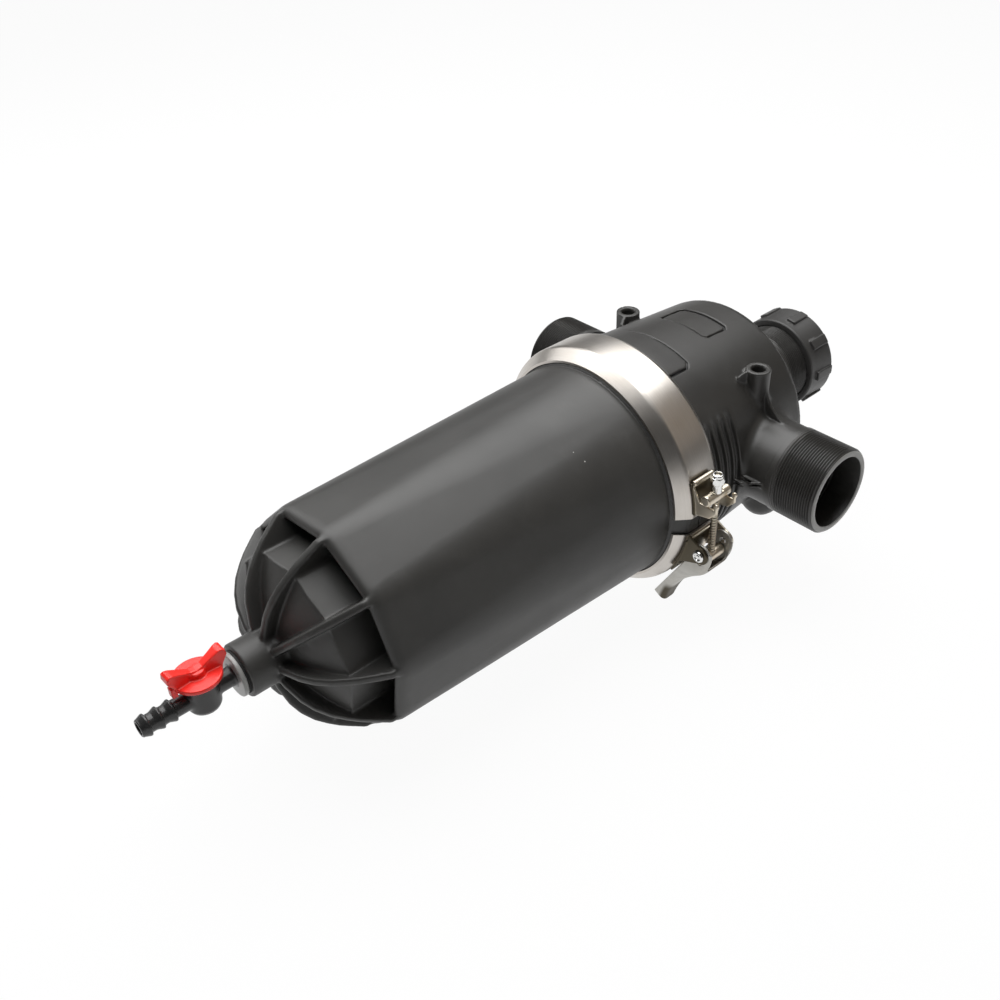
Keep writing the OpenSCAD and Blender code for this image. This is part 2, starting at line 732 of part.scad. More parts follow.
module seat_bar() color("#b39f78") difference() {
    at_xz([bolt_x, seat_bar_z]) rod_y(saddle_near - bar_end, saddle_far + plate_t + bar_end, seat_bar_d);
    translate([bolt_x, -joint_y, seat_bar_z - seat_bar_d])
        cylinder(h = 2*seat_bar_d, d = bolt_d + 2*running_gap);
    translate([bolt_x - washer_d/2 - 1, -joint_y - washer_d/2 - 1, washer_z - bar_flat])
        cube([washer_d + 2, washer_d + 2, seat_bar_d]);
}

module bolt_washer() color("#d0d0cc") translate([bolt_x, -joint_y, washer_z - bar_flat]) difference() {
    cylinder(h = washer_t + bar_flat, d = washer_d);
    translate([0, 0, -1]) cylinder(h = washer_t + bar_flat + 2, d = bolt_d + 2*running_gap);
}

module lock_nut() color("#d6d6d6") translate([bolt_x, -joint_y, nut_z]) difference() {
    union() {
        cylinder(h = nut_hex_h, d = nut_af/cos(30), $fn = 6);
        cylinder(h = nut_h, d = nut_collar_d);
    }
    translate([0, 0, -1]) cylinder(h = nut_h + 2, d = bolt_d + 2*running_gap);
}

// Rear cap
module rear_cap() color("#2e2e2e") difference() {
    union() {
        about_y() polygon([
            [0, cap_front], [cap_front_d/2 - 1, cap_front], [cap_front_d/2, cap_front + 1],
            [cap_front_d/2, cap_front + cap_ring], [cap_rear_d/2 - 1, cap_front + cap_ring + 1],
            [cap_rear_d/2, cap_rear - cap_edge], [cap_rear_d/2 - cap_edge, cap_rear], [0, cap_rear]]);
        for (i = [0:cap_ribs - 1]) rotate([0, 360/cap_ribs*i, 0])
            translate([cap_rear_d/2 - cap_edge, cap_front + cap_ring, -cap_rib_t/2])
                cube([cap_edge + cap_rib_h, cap_len - cap_ring - 1.2*cap_edge, cap_rib_t]);
    }
    rod_y(cap_front - 1, cap_rear - cap_end_t, cap_bore_d);
    rod_y(cap_rear - cap_end_t + cap_web_t, cap_rear + 1, cap_recess_d);
}

module cap_gasket() color("#3a3a3a")
    ring_y(stub_end + gasket_gap, stub_end + gasket_t - gasket_gap, port_thread_d - 1, port_bore_d + 1);

// Drain valve
module tail_outline() polygon(concat(
    [[0, stem_y + 1], [tail_d/2, stem_y + 1]],
    [for (i = [barb_count - 1:-1:0])
        let (y = tail_end + barb_lead + barb_pitch*i)
        each [[tail_d/2, y + barb_back], [barb_d/2, y + barb_land], [barb_d/2, y - barb_land/2],
            [tail_d/2, y - barb_slope]]],
    [[tail_d/2, tail_end + tail_edge], [tail_d/2 - tail_edge, tail_end], [0, tail_end]]));

module valve_body() color("#2c2c2c") difference() {
    union() {
        rod_y(collar_face - drain_gasket_t, collar_back - 1, valve_plug_d);
        rod_y(collar_face - drain_gasket_t - valve_flange_t, collar_face - drain_gasket_t, valve_flange_d);
        rod_y(stem_y, collar_face, tube_d);
        about_y() tail_outline();
        translate([0, stem_y, -housing_drop]) rotate_extrude() polygon(concat(
            [[0, 0]], arc_points([housing_d/2 - housing_edge, housing_edge], housing_edge, -90, 0, 6),
            [[housing_d/2, housing_drop + housing_rise], [0, housing_drop + housing_rise]]));
    }
    rod_y(tail_end - 1, collar_back + 1, tube_bore_d);
    translate([0, stem_y, -ball_d/2 - fit_gap])
        cylinder(h = ball_d/2 + fit_gap + housing_rise + 1, d = cavity_d);
    rod_y(stem_y - seat_out, stem_y + seat_out, seat_ring_d + 2*running_gap);
}

module drain_gasket() color("#1c1c1c")
    ring_y(collar_face - drain_gasket_t, collar_face, valve_flange_d - 2*fit_gap, collar_bore_d);

module valve_ball() color("#b8b8b8") translate([0, stem_y, 0]) difference() {
    sphere(d = ball_d);
    translate([0, -ball_d, 0]) rotate([-90, 0, 0]) cylinder(h = 2*ball_d, d = tube_bore_d);
    translate([-tang_w/2, -tang_w/2, tang_z]) cube([tang_w, tang_w, ball_d]);
}

module valve_seats() color("#e8e4da") {
    ring_y(stem_y + seat_in, stem_y + seat_out, seat_ring_d, tube_bore_d);
    ring_y(stem_y - seat_out, stem_y - seat_in, seat_ring_d, tube_bore_d);
}

module valve_stem() color("#8c8c8c") translate([0, stem_y, 0]) {
    translate([-tang_w/2, -tang_w/2, tang_z]) cube([tang_w, tang_w, housing_rise - tang_z]);
    translate([0, 0, ball_d/2 + fit_gap]) cylinder(h = handle_z - ball_d/2 - fit_gap, d = stem_d);
    translate([-tang_w/2, -tang_w/2, handle_z - 1]) cube([tang_w, tang_w, handle_t]);
}

module valve_gland() color("#262626") translate([0, stem_y, 0]) difference() {
    union() {
        translate([0, 0, ball_d/2 + fit_gap])
            cylinder(h = housing_rise - ball_d/2, d = cavity_d - 2*running_gap);
        translate([0, 0, housing_rise]) cylinder(h = gland_t, d = housing_d - 1);
    }
    cylinder(h = reach, d = stem_d + 2*running_gap);
}

module wing_outline() {
    tip = wing_span/2;
    polygon(concat(
        [[-tip + wing_neck, 0], [-tip, wing_h - 1.5*wing_edge]],
        arc_points([-tip + wing_edge, wing_h - wing_edge], wing_edge, 170, 70, 4),
        arc_points([0, wing_h + wing_dip], wing_dip_r, 205, 335, 10),
        arc_points([tip - wing_edge, wing_h - wing_edge], wing_edge, 110, 10, 4),
        [[tip, wing_h - 1.5*wing_edge], [tip - wing_neck, 0]]));
}

module valve_handle() color("#d8262b") translate([0, stem_y, handle_z]) difference() {
    union() {
        cylinder(h = handle_t, d = handle_d);
        rotate([0, 0, 90]) plate_y(-wing_t/2, wing_t/2) translate([0, handle_t - 0.5]) wing_outline();
        translate([-stop_w/2, -handle_d/2 - stop_out, -stop_drop])
            cube([stop_w, stop_out + 1, stop_drop + handle_t]);
    }
    translate([-tang_w/2, -tang_w/2, -1]) cube([tang_w, tang_w, handle_t]);
}

// Cartridge
module disc_spine() color("#3b3b3b") difference() {
    union() {
        rod_y(socket_front, socket_front + socket_len, centre_tube_d + 2*socket_wall);
        rod_y(stack_head, socket_front, plate_d);
        rod_y(press_front, stack_head, spine_d);
        rod_y(cartridge_end + nut_floor, press_front, spine_stud_d);
        for (i = [0:spine_ribs - 1]) rotate([0, 360/spine_ribs*i, 0])
            translate([0, stack_tail, -spine_rib_t/2])
                cube([disc_bore_d/2 - fit_gap, stack_len + 1, spine_rib_t]);
    }
    rod_y(tube_front - fit_gap, socket_front + socket_len + 1, centre_tube_d + 2*fit_gap);
    rod_y(press_front + spine_floor, tube_front, centre_bore_d);
    for (i = [0:spine_ribs - 1]) rotate([0, 360/spine_ribs*(i + 0.5), 0])
        translate([0, stack_tail + spine_slot_end, -spine_slot_w/2])
            cube([disc_bore_d, stack_len - 2*spine_slot_end, spine_slot_w]);
}

module disc_stack() color("#7a1f24") about_y() difference() {
    translate([disc_bore_d/2, stack_tail]) square([(disc_d - disc_bore_d)/2, stack_len]);
    for (y = [stack_tail + disc_pitch:disc_pitch:stack_head - disc_pitch/2])
        translate([disc_d/2 - groove_line, y - groove_line/2]) square([2*groove_line, groove_line]);
}

module press_plate() color("#3b3b3b")
    ring_y(press_front, stack_tail, plate_d, spine_d + 2*fit_gap);

module cartridge_nut() color("#35506a") difference() {
    union() {
        rod_y(cartridge_end, press_front, spine_d + 2*nut_rim);
        translate([-spine_d/2 - nut_wing, cartridge_end, -nut_wing_t/2])
            cube([spine_d + 2*nut_wing, nut_len, nut_wing_t]);
    }
    rod_y(cartridge_end + nut_floor - fit_gap, press_front + 1, spine_stud_d + 2*fit_gap);
}

module cartridge_seal() color("#151515")
    ring_y(socket_front + socket_len, socket_front + socket_len + cartridge_seal_t,
        centre_tube_d + 2*cartridge_seal_t, centre_tube_d + fit_gap);

filter_head();
filter_bowl();
body_seal();
clamp_band();
bolt_saddle();
lever_bracket();
lever_rivets();
clamp_lever();
trunnion();
clamp_bolt();
seat_bar();
bolt_washer();
lock_nut();
rear_cap();
cap_gasket();
valve_body();
drain_gasket();
valve_ball();
valve_seats();
valve_stem();
valve_gland();
valve_handle();
disc_spine();
disc_stack();
press_plate();
cartridge_nut();
cartridge_seal();
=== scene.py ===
"""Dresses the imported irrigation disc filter: moulded plastic, clamp, drain valve, studio stage."""
import math

import bpy
import numpy as np
import openvdb as vdb
from mathutils import Matrix, Vector


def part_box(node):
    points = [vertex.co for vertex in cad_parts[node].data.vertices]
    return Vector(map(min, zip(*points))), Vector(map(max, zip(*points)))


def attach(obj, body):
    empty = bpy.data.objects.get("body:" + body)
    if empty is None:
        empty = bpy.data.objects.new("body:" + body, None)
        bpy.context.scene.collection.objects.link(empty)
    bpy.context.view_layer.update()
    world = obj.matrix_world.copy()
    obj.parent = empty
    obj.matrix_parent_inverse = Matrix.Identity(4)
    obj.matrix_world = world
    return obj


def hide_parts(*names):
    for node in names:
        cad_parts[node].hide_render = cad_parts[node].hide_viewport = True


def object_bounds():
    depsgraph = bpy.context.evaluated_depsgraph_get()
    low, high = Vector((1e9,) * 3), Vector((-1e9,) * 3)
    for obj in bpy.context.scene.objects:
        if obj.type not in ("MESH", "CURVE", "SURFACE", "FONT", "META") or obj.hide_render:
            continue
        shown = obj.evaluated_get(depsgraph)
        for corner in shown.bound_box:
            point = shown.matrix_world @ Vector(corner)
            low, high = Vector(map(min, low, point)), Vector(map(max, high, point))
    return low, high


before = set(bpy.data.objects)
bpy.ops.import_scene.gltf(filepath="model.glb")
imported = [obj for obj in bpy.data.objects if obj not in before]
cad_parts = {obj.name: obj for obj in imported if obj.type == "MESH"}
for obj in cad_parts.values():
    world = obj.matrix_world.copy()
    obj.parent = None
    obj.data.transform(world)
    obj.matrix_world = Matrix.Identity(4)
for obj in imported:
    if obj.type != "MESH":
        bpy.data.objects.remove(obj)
CAD_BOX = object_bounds()

bl_info = {
    "name": "Irrigation disc filter",
    "version": (1, 0, 0),
    "blender": (4, 5, 0),
    "location": "3D View > Sidebar > Filter",
    "description": "Builds the visible pieces of an irrigation disc filter around its packed solids",
    "category": "Object",
}

MM = 0.001
COARSE = 1.0
MERGING = (0.002, 0.005, 0.01, 0.02, 0.04, 0.07, 0.11, 0.16, 0.22, 0.3)

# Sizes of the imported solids, in millimetres
BAND_FRONT = -123.0
JOINT_Y = -100.0
FLANGE_R = 104.2
HEAD_REAR = 50.0
NECK_R = 36.792
THREAD_R = 37.592
BORE_R = 31.0
PORT_END = 165.0
THREAD_START = 120.0
STUB_END = 150.0
GAUGE = (73.0, 2.7)
GAUGE_TOP = 76.7
RIM_Y = -383.5
RIM_FLOOR = -369.5
NOSE_TOP = -406.5
COLLAR_FACE = -452.5
STEM_Y = -479.5
TAIL_END = -524.3
RIB_TURN = 6.9
SIDES = 10
HALF_SIDE = math.pi/SIDES
BOLT_X = 118.0
PIVOT = (119.0, -26.0)
TRUNNION = (118.0, -34.5)
EAR_NEAR = (-116.9, -114.9)
EAR_FAR = (-85.1, -83.1)
LEVER_NEAR = -114.5
LEVER_FAR = -85.5
BOLT_TOP = 44.0
BOLT_HOLE = 3.05
SEAT_BAR_Z = 24.9
SEAT_FLAT = 28.2
SLEEVE_TOP = 36.0
CAP_FRONT = 132.7
CAP_REAR = 166.0
HANDLE_Z = 13.9
PAD_R = 98
PAD_HALF = 44.5
PAD_REAR = -49
ROOT2 = 1.414
# Dark brown painted shade for the plated steel and the lever's flare
PAINTED_SHADE = (0.075, 0.064, 0.045, 1.0)


# Distances

def join(a, b, soft=0.0):
    """Union of two distance fields, with a fillet of about the given radius."""
    if soft <= 0:
        return np.minimum(a, b)
    h = np.maximum(soft - np.abs(a - b), 0)/soft
    return np.minimum(a, b) - h*h*soft/4


def meet(a, b, soft=0.0):
    """Intersection of two distance fields, with a rounded edge."""
    return -join(-a, -b, soft)


def outline(u, v, points):
    """Signed distance in a plane to a closed outline."""
    best = inside = None
    for (ax, ay), (bx, by) in zip(points, points[1:] + points[:1]):
        ex, ey = bx - ax, by - ay
        wu, wv = u - ax, v - ay
        t = np.clip((wu*ex + wv*ey)/(ex*ex + ey*ey), 0, 1)
        gap = (wu - ex*t)**2 + (wv - ey*t)**2
        above, below, left = v >= ay, v < by, ex*wv > ey*wu
        flip = (above & below & left) | ~(above | below | left)
        best = gap if best is None else np.minimum(best, gap)
        inside = flip if inside is None else inside ^ flip
    return np.where(inside, -1, 1)*np.sqrt(best)


def between(v, low, high):
    """Distance to a slab."""
    return np.abs(v - (low + high)/2) - (high - low)/2


def polar(x, y, z, axis, centre):
    """Radius and height about an axis through a point."""
    p = [x - centre[0], y - centre[1], z - centre[2]]
    height = p.pop(axis)
    return np.hypot(p[0], p[1]), height


def turned(points, axis, centre=(0, 0, 0)):
    """A profile of (radius, height) points turned about an axis."""
    def shape(x, y, z):
        return outline(*polar(x, y, z, axis, centre), points)
    return shape


def rod(axis, radius, low, high, centre=(0, 0, 0), soft=0.0):
    """A round bar along an axis, with its end edges rounded."""
    def shape(x, y, z):
        r, height = polar(x, y, z, axis, centre)
        return meet(r - radius, between(height, low, high), soft)
    return shape


def on_side(side, near, far):
    """Two distances from the middle on one side, the lower first."""
    return sorted((side*near, side*far))


def round_pivot(radius, degrees):
    """A point at an angle round the lever's pivot."""
    turn = math.radians(degrees)
    return PIVOT[0] + radius*math.cos(turn), PIVOT[1] + radius*math.sin(turn)


class Moulding:
    """A solid kept as distances on a grid of cells, in millimetres."""

    def __init__(self, low, high, cell):
        self.cell = cell*COARSE
        self.low = np.array(low, float) - 3*self.cell
        counts = np.ceil((np.array(high, float) + 3*self.cell - self.low)/self.cell).astype(int) + 1
        self.axes = [(self.low[i] + self.cell*np.arange(counts[i])).astype(np.float32) for i in range(3)]
        self.d = np.full(counts, 1000.0, np.float32)

    def window(self, box):
        """The slices and coordinates of the cells in a box, or of them all."""
        cuts = []
        for i, axis in enumerate(self.axes):
            low, high = (box[0][i], box[1][i]) if box else (axis[0], axis[-1])
            cuts.append(slice(int(np.searchsorted(axis, low)), int(np.searchsorted(axis, high, "right"))))
        x, y, z = (axis[cut] for axis, cut in zip(self.axes, cuts))
        return tuple(cuts), x[:, None, None], y[None, :, None], z[None, None, :]

    def add(self, shape, box=None, soft=0.0):
        cuts, x, y, z = self.window(box)
        self.d[cuts] = join(self.d[cuts], shape(x, y, z), soft)

    def cut(self, shape, box=None, soft=0.0):
        cuts, x, y, z = self.window(box)
        self.d[cuts] = meet(self.d[cuts], -shape(x, y, z), soft)

    def sample(self, points):
        """Distances at points given in cells."""
        base = np.clip(np.floor(points).astype(int), 0, np.array(self.d.shape) - 2)
        part = points - base
        total = 0
        for corner in np.ndindex(2, 2, 2):
            weight = np.prod(np.where(corner, part, 1 - part), axis=1)
            total = total + weight*self.d[tuple((base + corner).T)]
        return total

    def mesh(self, name, budget=26000):
        """The surface, with its flatter cells merged until it keeps within a number of triangles."""
        grid = vdb.FloatGrid(3.0)
        grid.copyFromArray(np.clip(self.d/self.cell, -3, 3))
        for adaptivity in MERGING:
            points, triangles, quads = grid.convertToPolygons(isovalue=0.0, adaptivity=adaptivity)
            if len(triangles) + 2*len(quads) < budget:
                break
        mesh = bpy.data.meshes.new(name)
        mesh.from_pydata(((points*self.cell + self.low)*MM).tolist(), [], triangles.tolist() + quads.tolist())
        normals = np.zeros_like(points, dtype=float)
        for i in range(3):
            step = np.zeros(3)
            step[i] = 0.7
            normals[:, i] = self.sample(points + step) - self.sample(points - step)
        normals /= np.maximum(np.linalg.norm(normals, axis=1, keepdims=True), 1e-9)
        mesh.polygons.foreach_set("use_smooth", np.ones(len(mesh.polygons), bool))
        mesh.normals_split_custom_set_from_vertices(normals.tolist())
        return mesh


def swept_mesh(name, rows, closed=True, sharp=35.0):
    """A mesh over rows of closed loops; an open sweep gets flat ends."""
    rows = np.asarray(rows, float)
    count, ring = rows.shape[:2]
    step = np.arange(count*ring).reshape(count, ring)
    nxt = np.roll(step, -1, axis=0)
    if not closed:
        step, nxt = step[:-1], nxt[:-1]
    faces = np.stack([step, np.roll(step, -1, axis=1), np.roll(nxt, -1, axis=1), nxt], axis=-1).reshape(-1, 4).tolist()
    if not closed:
        faces.append(list(range(ring))[::-1])
        faces.append(list(range((count - 1)*ring, count*ring)))
    mesh = bpy.data.meshes.new(name)
    mesh.from_pydata((rows.reshape(-1, 3)*MM).tolist(), [], faces)
    mesh.polygons.foreach_set("use_smooth", np.ones(len(mesh.polygons), bool))
    mesh.set_sharp_from_angle(angle=math.radians(sharp))
    mesh.validate()
    return mesh


def show(mesh, body, slot, *nodes):
    """Puts a mesh in the scene as a piece that rides on a body and stands for CAD nodes."""
    if not mesh.polygons:
        raise RuntimeError(f"{mesh.name} came out empty")
    piece = bpy.data.objects.new(mesh.name, mesh)
    bpy.context.scene.collection.objects.link(piece)
    mesh.materials.append(finish(slot))
    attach(piece, body)
    if nodes:
        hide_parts(*nodes)
    return piece


# Finishes

class Wire:
    """A shader socket that stands in Python arithmetic; each operation adds a Math node."""

    def __init__(self, finish, socket):
        self.finish = finish
        self.socket = socket

    def math(self, operation, *values, clamp=False):
        return self.finish.node("ShaderNodeMath", {"operation": operation, "use_clamp": clamp}, dict(enumerate(values)))

    def __add__(self, other):
        return self.math("ADD", self, other)

    def __sub__(self, other):
        return self.math("SUBTRACT", self, other)

    def __rsub__(self, other):
        return self.math("SUBTRACT", other, self)

    def __mul__(self, other):
        return self.math("MULTIPLY", self, other)

    def __pow__(self, other):
        return self.math("POWER", self, other)

    __radd__ = __add__
    __rmul__ = __mul__

    def size(self):
        return self.math("ABSOLUTE", self)

    def above(self, other):
        return self.math("MAXIMUM", self, other)

    def ramp(self, low, high):
        """0 below low, 1 above high, smooth between."""
        settings = {"interpolation_type": "SMOOTHSTEP"}
        return self.finish.node("ShaderNodeMapRange", settings, {0: self, 1: low, 2: high})


class Finish:
    """A material whose nodes are written as expressions."""

    def __init__(self, name, **constants):
        self.material = bpy.data.materials.new(name)
        self.material.use_nodes = True
        self.tree = self.material.node_tree
        self.shader = self.tree.nodes["Principled BSDF"]
        for socket, value in constants.items():
            self.shader.inputs[socket.replace("_", " ")].default_value = value
        place = self.tree.nodes.new("ShaderNodeTexCoord")
        self.place = Wire(self, place.outputs["Object"])

    def node(self, kind, settings, inputs, output=0):
        """Adds a node: its settings first, then the values or links of its sockets."""
        node = self.tree.nodes.new(kind)
        for key, value in settings.items():
            setattr(node, key, value)
        for key, value in inputs.items():
            self.plug(node.inputs[key], value)
        return Wire(self, node.outputs[output])

    def plug(self, socket, value):
        if isinstance(value, Wire):
            self.tree.links.new(value.socket, socket)
        else:
            socket.default_value = value

    def feed(self, **values):
        for name, value in values.items():
            self.plug(self.shader.inputs[name.replace("_", " ")], value)

    def noise(self, scale, detail=3.0, rough=0.5, stretch=None):
        """Noise with a scale in features per metre."""
        place = self.place
        if stretch:
            place = self.node("ShaderNodeVectorMath", {"operation": "MULTIPLY"}, {0: place, 1: stretch})
        inputs = {"Vector": place, "Scale": scale, "Detail": detail, "Roughness": rough}
        return self.node("ShaderNodeTexNoise", {}, inputs)

    def spots(self, scale, size):
        """Sparse round specks: 1 inside a speck."""
        cells = self.node("ShaderNodeTexVoronoi", {}, {"Vector": self.place, "Scale": scale})
        return 1 - cells.ramp(size*0.6, size)

    def axes(self):
        """The three coordinates, in metres."""
        split = self.node("ShaderNodeSeparateXYZ", {}, {0: self.place}).socket.node
        return [Wire(self, socket) for socket in split.outputs]

    def mix(self, factor, a, b):
        return self.node("ShaderNodeMix", {"data_type": "RGBA"}, {0: factor, 6: a, 7: b}, 2)

    def bump(self, height, distance, strength=1.0, under=None):
        inputs = {"Height": height, "Distance": distance, "Strength": strength}
        if under:
            inputs["Normal"] = under
        return self.node("ShaderNodeBump", {}, inputs)


def shade(colour, factor):
    return tuple(min(1.0, c*factor) for c in colour[:3]) + (1.0,)


def head_marks(f):
    """Painted shade in the grooves round the head's label field and pad, and paler port ends: partly a lighter cut
    face, partly painted light.
    """
    x, y, z = f.axes()
    side, along = x.size(), x.math("ARCTAN2", x, z).size()*0.098
    middle = (y - 0.005).size()
    field = (side - 0.026).above(middle - 0.015).above((side + middle - 0.0375)*0.707)
    pad = (along - 0.0445).above(y + 0.049).above((along + y + 0.0085)*0.707)
    # Painted shade: near-black bands along the grooves round the label field and the pad
    field_groove_shade = (1 - (field + 0.0009).size().ramp(0.0006, 0.0012))*y.ramp(-0.0095, -0.0075)
    pad_line = (1 - (pad - 0.0008).size().ramp(0.0006, 0.0012))*y.ramp(-0.0755, -0.0745)
    groove_shade = field_groove_shade.above(pad_line)*z.ramp(0.05, 0.055)*0.85
    # The paler port ends are partly a lighter cut face and partly painted light on the end faces
    return (groove_shade, (0.003, 0.003, 0.003, 1.0)), (side.ramp(0.1641, 0.1645)*0.9, (0.30, 0.30, 0.29, 1.0))


def valve_painted_light(f):
    """Painted light: a paler lit face on the drain valve's flange."""
    x, y, z = f.axes()
    flange = y.ramp(-0.4580, -0.4575)*(1 - y.ramp(-0.4542, -0.4538))*(x*x + z*z).ramp(0.0085**2, 0.0095**2)
    # Paler painted light on the flange's face
    return ((flange*0.8, (0.34, 0.34, 0.33, 1.0)),)


def moulded_plastic(name, colour, roughness, grain, dust=0.0, specks=0.0, marks=None):
    """Moulded black or red plastic: fine grain, uneven sheen, a little dust and a few specks."""
    f = Finish(name, Specular_IOR_Level=0.5)
    cloud = f.noise(9.0, 4.0, 0.55)
    smudge = f.noise(46.0, 5.0, 0.6)
    fine = f.noise(1900.0, 2.0, 0.6)
    sheen = f.noise(22.0, 3.0, 0.5, stretch=(1.0, 0.25, 1.0))
    tone = f.mix(cloud.ramp(0.3, 0.7), shade(colour, 0.86), shade(colour, 1.16))
    if dust:
        veil = smudge.ramp(0.5, 0.78)*f.noise(7.0, 2.0).ramp(0.45, 0.7)*dust
        tone = f.mix(veil, tone, (0.30, 0.29, 0.27, 1.0))
    if specks:
        tone = f.mix(f.spots(34.0, specks), tone, (0.62, 0.61, 0.58, 1.0))
    for factor, mark in marks(f) if marks else ():
        tone = f.mix(factor, tone, mark)
    rubs = f.noise(130.0, 3.0, 0.65, stretch=(1.0, 0.08, 1.0)).ramp(0.62, 0.74)
    rough = roughness + (sheen - 0.5)*0.14 + (smudge - 0.5)*0.10 - rubs*0.03
    f.feed(Base_Color=tone, Roughness=rough.above(0.08))
    flow = f.bump(f.noise(60.0, 2.0), 0.00035, 0.35)
    f.feed(Normal=f.bump(fine, 0.00012, grain, flow))
    return f.material


def plate_painted_shade(f):
    """Painted shade: a dark painted reflection on the saddle's back plate and the bracket's near ear."""
    x, y, z = f.axes()
    back = (1 - (x*x + z*z).ramp(0.1089**2, 0.1094**2))*z.ramp(0.0, 0.002)
    ear = (1 - y.ramp(-0.1150, -0.1148))*(1 - z.ramp(-0.006, -0.004))
    # The back plate and ear masks get the dark painted shade
    return ((back.above(ear), PAINTED_SHADE),)


def lever_painted_shade(f):
    """Painted shade on the outside of the lever's flare."""
    x, y, z = f.axes()
    dx, dz = x - 0.17051, z + 0.130147
    depth = (dx*dx + dz*dz)**0.5 - 0.095
    # Dark painted shade near the flare's outer line, low on the lever
    return (((1 - depth.ramp(0.0035, 0.0075))*(1 - z.ramp(-0.088, -0.078)), PAINTED_SHADE),)


def rolled_steel(name, colour, roughness, tint, streak, brushed, marks=None):
    """Stainless or plated sheet: brushing, cloudy tint and small scratches."""
    f = Finish(name, Metallic=1.0)
    base = shade(colour, 1.0)
    brush = f.noise(1500.0, 3.0, 0.7, stretch=(0.02, 1.0, 0.02))
    cloud = f.noise(30.0, 4.0, 0.6)
    patch = f.noise(90.0, 3.0, 0.55)
    tone = f.mix(cloud.ramp(0.35, 0.7)*tint, base, streak)
    tone = f.mix(brush.ramp(0.35, 0.65)*0.22, tone, shade(colour, 0.7))
    for factor, mark in marks(f) if marks else ():
        tone = f.mix(factor, tone, mark)
    rough = roughness + (brush - 0.5)*brushed*0.4 + (patch - 0.5)*0.08
    f.feed(Base_Color=tone, Roughness=rough.above(0.1))
    f.feed(Normal=f.bump(brush, 0.00003, brushed, f.bump(patch, 0.0001, 0.12)))
    return f.material


def soft_rubber(name, colour):
    f = Finish(name, Specular_IOR_Level=0.35)
    cloud = f.noise(60.0, 4.0)
    f.feed(Base_Color=f.mix(cloud.ramp(0.3, 0.7), shade(colour, 0.8), shade(colour, 1.5)))
    f.feed(Roughness=0.62 + cloud*0.16, Normal=f.bump(f.noise(1200.0), 0.0001, 0.3))
    return f.material


class FilterFinishes(bpy.types.PropertyGroup):
    """Colours of the filter's finishes."""

    def colour(title, words, value):
        return bpy.props.FloatVectorProperty(name=title, description=words, subtype="COLOR",
                                             default=value, min=0.0, max=1.0)

    head: colour("Head", "Moulded plastic of the head", (0.031, 0.030, 0.028))
    bowl: colour("Bowl", "Moulded plastic of the bowl", (0.034, 0.0333, 0.0313))
    cap: colour("Cap", "Moulded plastic of the rear cap", (0.036, 0.0352, 0.034))
    valve: colour("Valve", "Moulded plastic of the drain valve", (0.022, 0.022, 0.022))
    handle: colour("Handle", "Plastic of the valve's handle", (0.92, 0.024, 0.016))
    band: colour("Band", "Stainless steel of the clamp band", (0.57, 0.54, 0.505))
    plate: colour("Plate", "Yellowish plated steel of the saddle and bracket", (0.64, 0.60, 0.50))
    lever: colour("Lever", "Matt steel of the lever", (0.50, 0.49, 0.46))
    bright: colour("Bright", "Bright plated steel of nut, washer and rivets", (0.78, 0.78, 0.76))
    discs: colour("Discs", "Plastic of the filter discs", (0.45, 0.05, 0.05))


class FilterSizes(bpy.types.PropertyGroup):
    """Sizes of the details that the moulds and presses leave."""

    def size(title, words, value):
        return bpy.props.FloatProperty(name=title, description=words, subtype="DISTANCE", unit="LENGTH",
                                       default=value*MM, min=0.0)

    neck_fillet: size("Neck fillet", "Fillet where the ports leave the head", 7.0)
    rim_round: size("Rim rounding", "Rounding of the bowl's rim", 9.0)
    thread_pitch: size("Port thread pitch", "Pitch of the pipe threads", 2.309)
    thread_depth: size("Port thread depth", "Depth of the pipe threads", 1.479)
    bolt_pitch: size("Bolt pitch", "Pitch of the clamp bolt's rolled thread", 2.6)
    sheet_edge: size("Sheet edge", "Rounding of the pressed plates' edges", 0.8)


def sizes():
    return bpy.context.scene.filter_sizes


def finishes():
    return bpy.context.scene.filter_finishes


FINISH_CACHE = {}


def finish(name):
    """Makes each finish once, from the colours in the panel."""
    if name not in FINISH_CACHE:
        c = finishes()
        make, *values = {
            "head_plastic": (moulded_plastic, c.head, 0.40, 0.22, 0.05, 0.0, head_marks),
            "bowl_plastic": (moulded_plastic, c.bowl, 0.46, 0.30, 0.05, 0.022),
            "cap_plastic": (moulded_plastic, c.cap, 0.44, 0.25, 0.05),
            "valve_plastic": (moulded_plastic, c.valve, 0.30, 0.15, 0.0, 0.0, valve_painted_light),
            "spine_plastic": (moulded_plastic, (0.04, 0.04, 0.04), 0.45, 0.2),
            "disc_plastic": (moulded_plastic, c.discs, 0.42, 0.2),
            "seat_plastic": (moulded_plastic, (0.82, 0.80, 0.75), 0.4, 0.1),
            "handle_plastic": (moulded_plastic, c.handle, 0.34, 0.15),
            "seal_rubber": (soft_rubber, (0.018, 0.018, 0.018)),
            "band_steel": (rolled_steel, c.band, 0.33, 0.5, (0.50, 0.455, 0.40, 1.0), 0.2),
            "plated_steel": (rolled_steel, c.plate, 0.32, 0.7, (0.60, 0.50, 0.39, 1.0), 0.15, plate_painted_shade),
            "lever_steel": (rolled_steel, c.lever, 0.50, 0.5, (0.44, 0.42, 0.38, 1.0), 0.25, lever_painted_shade),
            "bright_steel": (rolled_steel, c.bright, 0.18, 0.3, (0.70, 0.70, 0.74, 1.0), 0.1),
        }[name]
        FINISH_CACHE[name] = make(name, *values)
    return FINISH_CACHE[name]


def pad_edge(x, y, z):
    """Distance past the pad's sides, rear edge and cut-off corners, measured round the head."""
    along = np.abs(np.arctan2(x, z))*PAD_R
    corner = (along + y - PAD_HALF - PAD_REAR + 4)/ROOT2
    return np.maximum(np.maximum(along - PAD_HALF, y - PAD_REAR), corner)


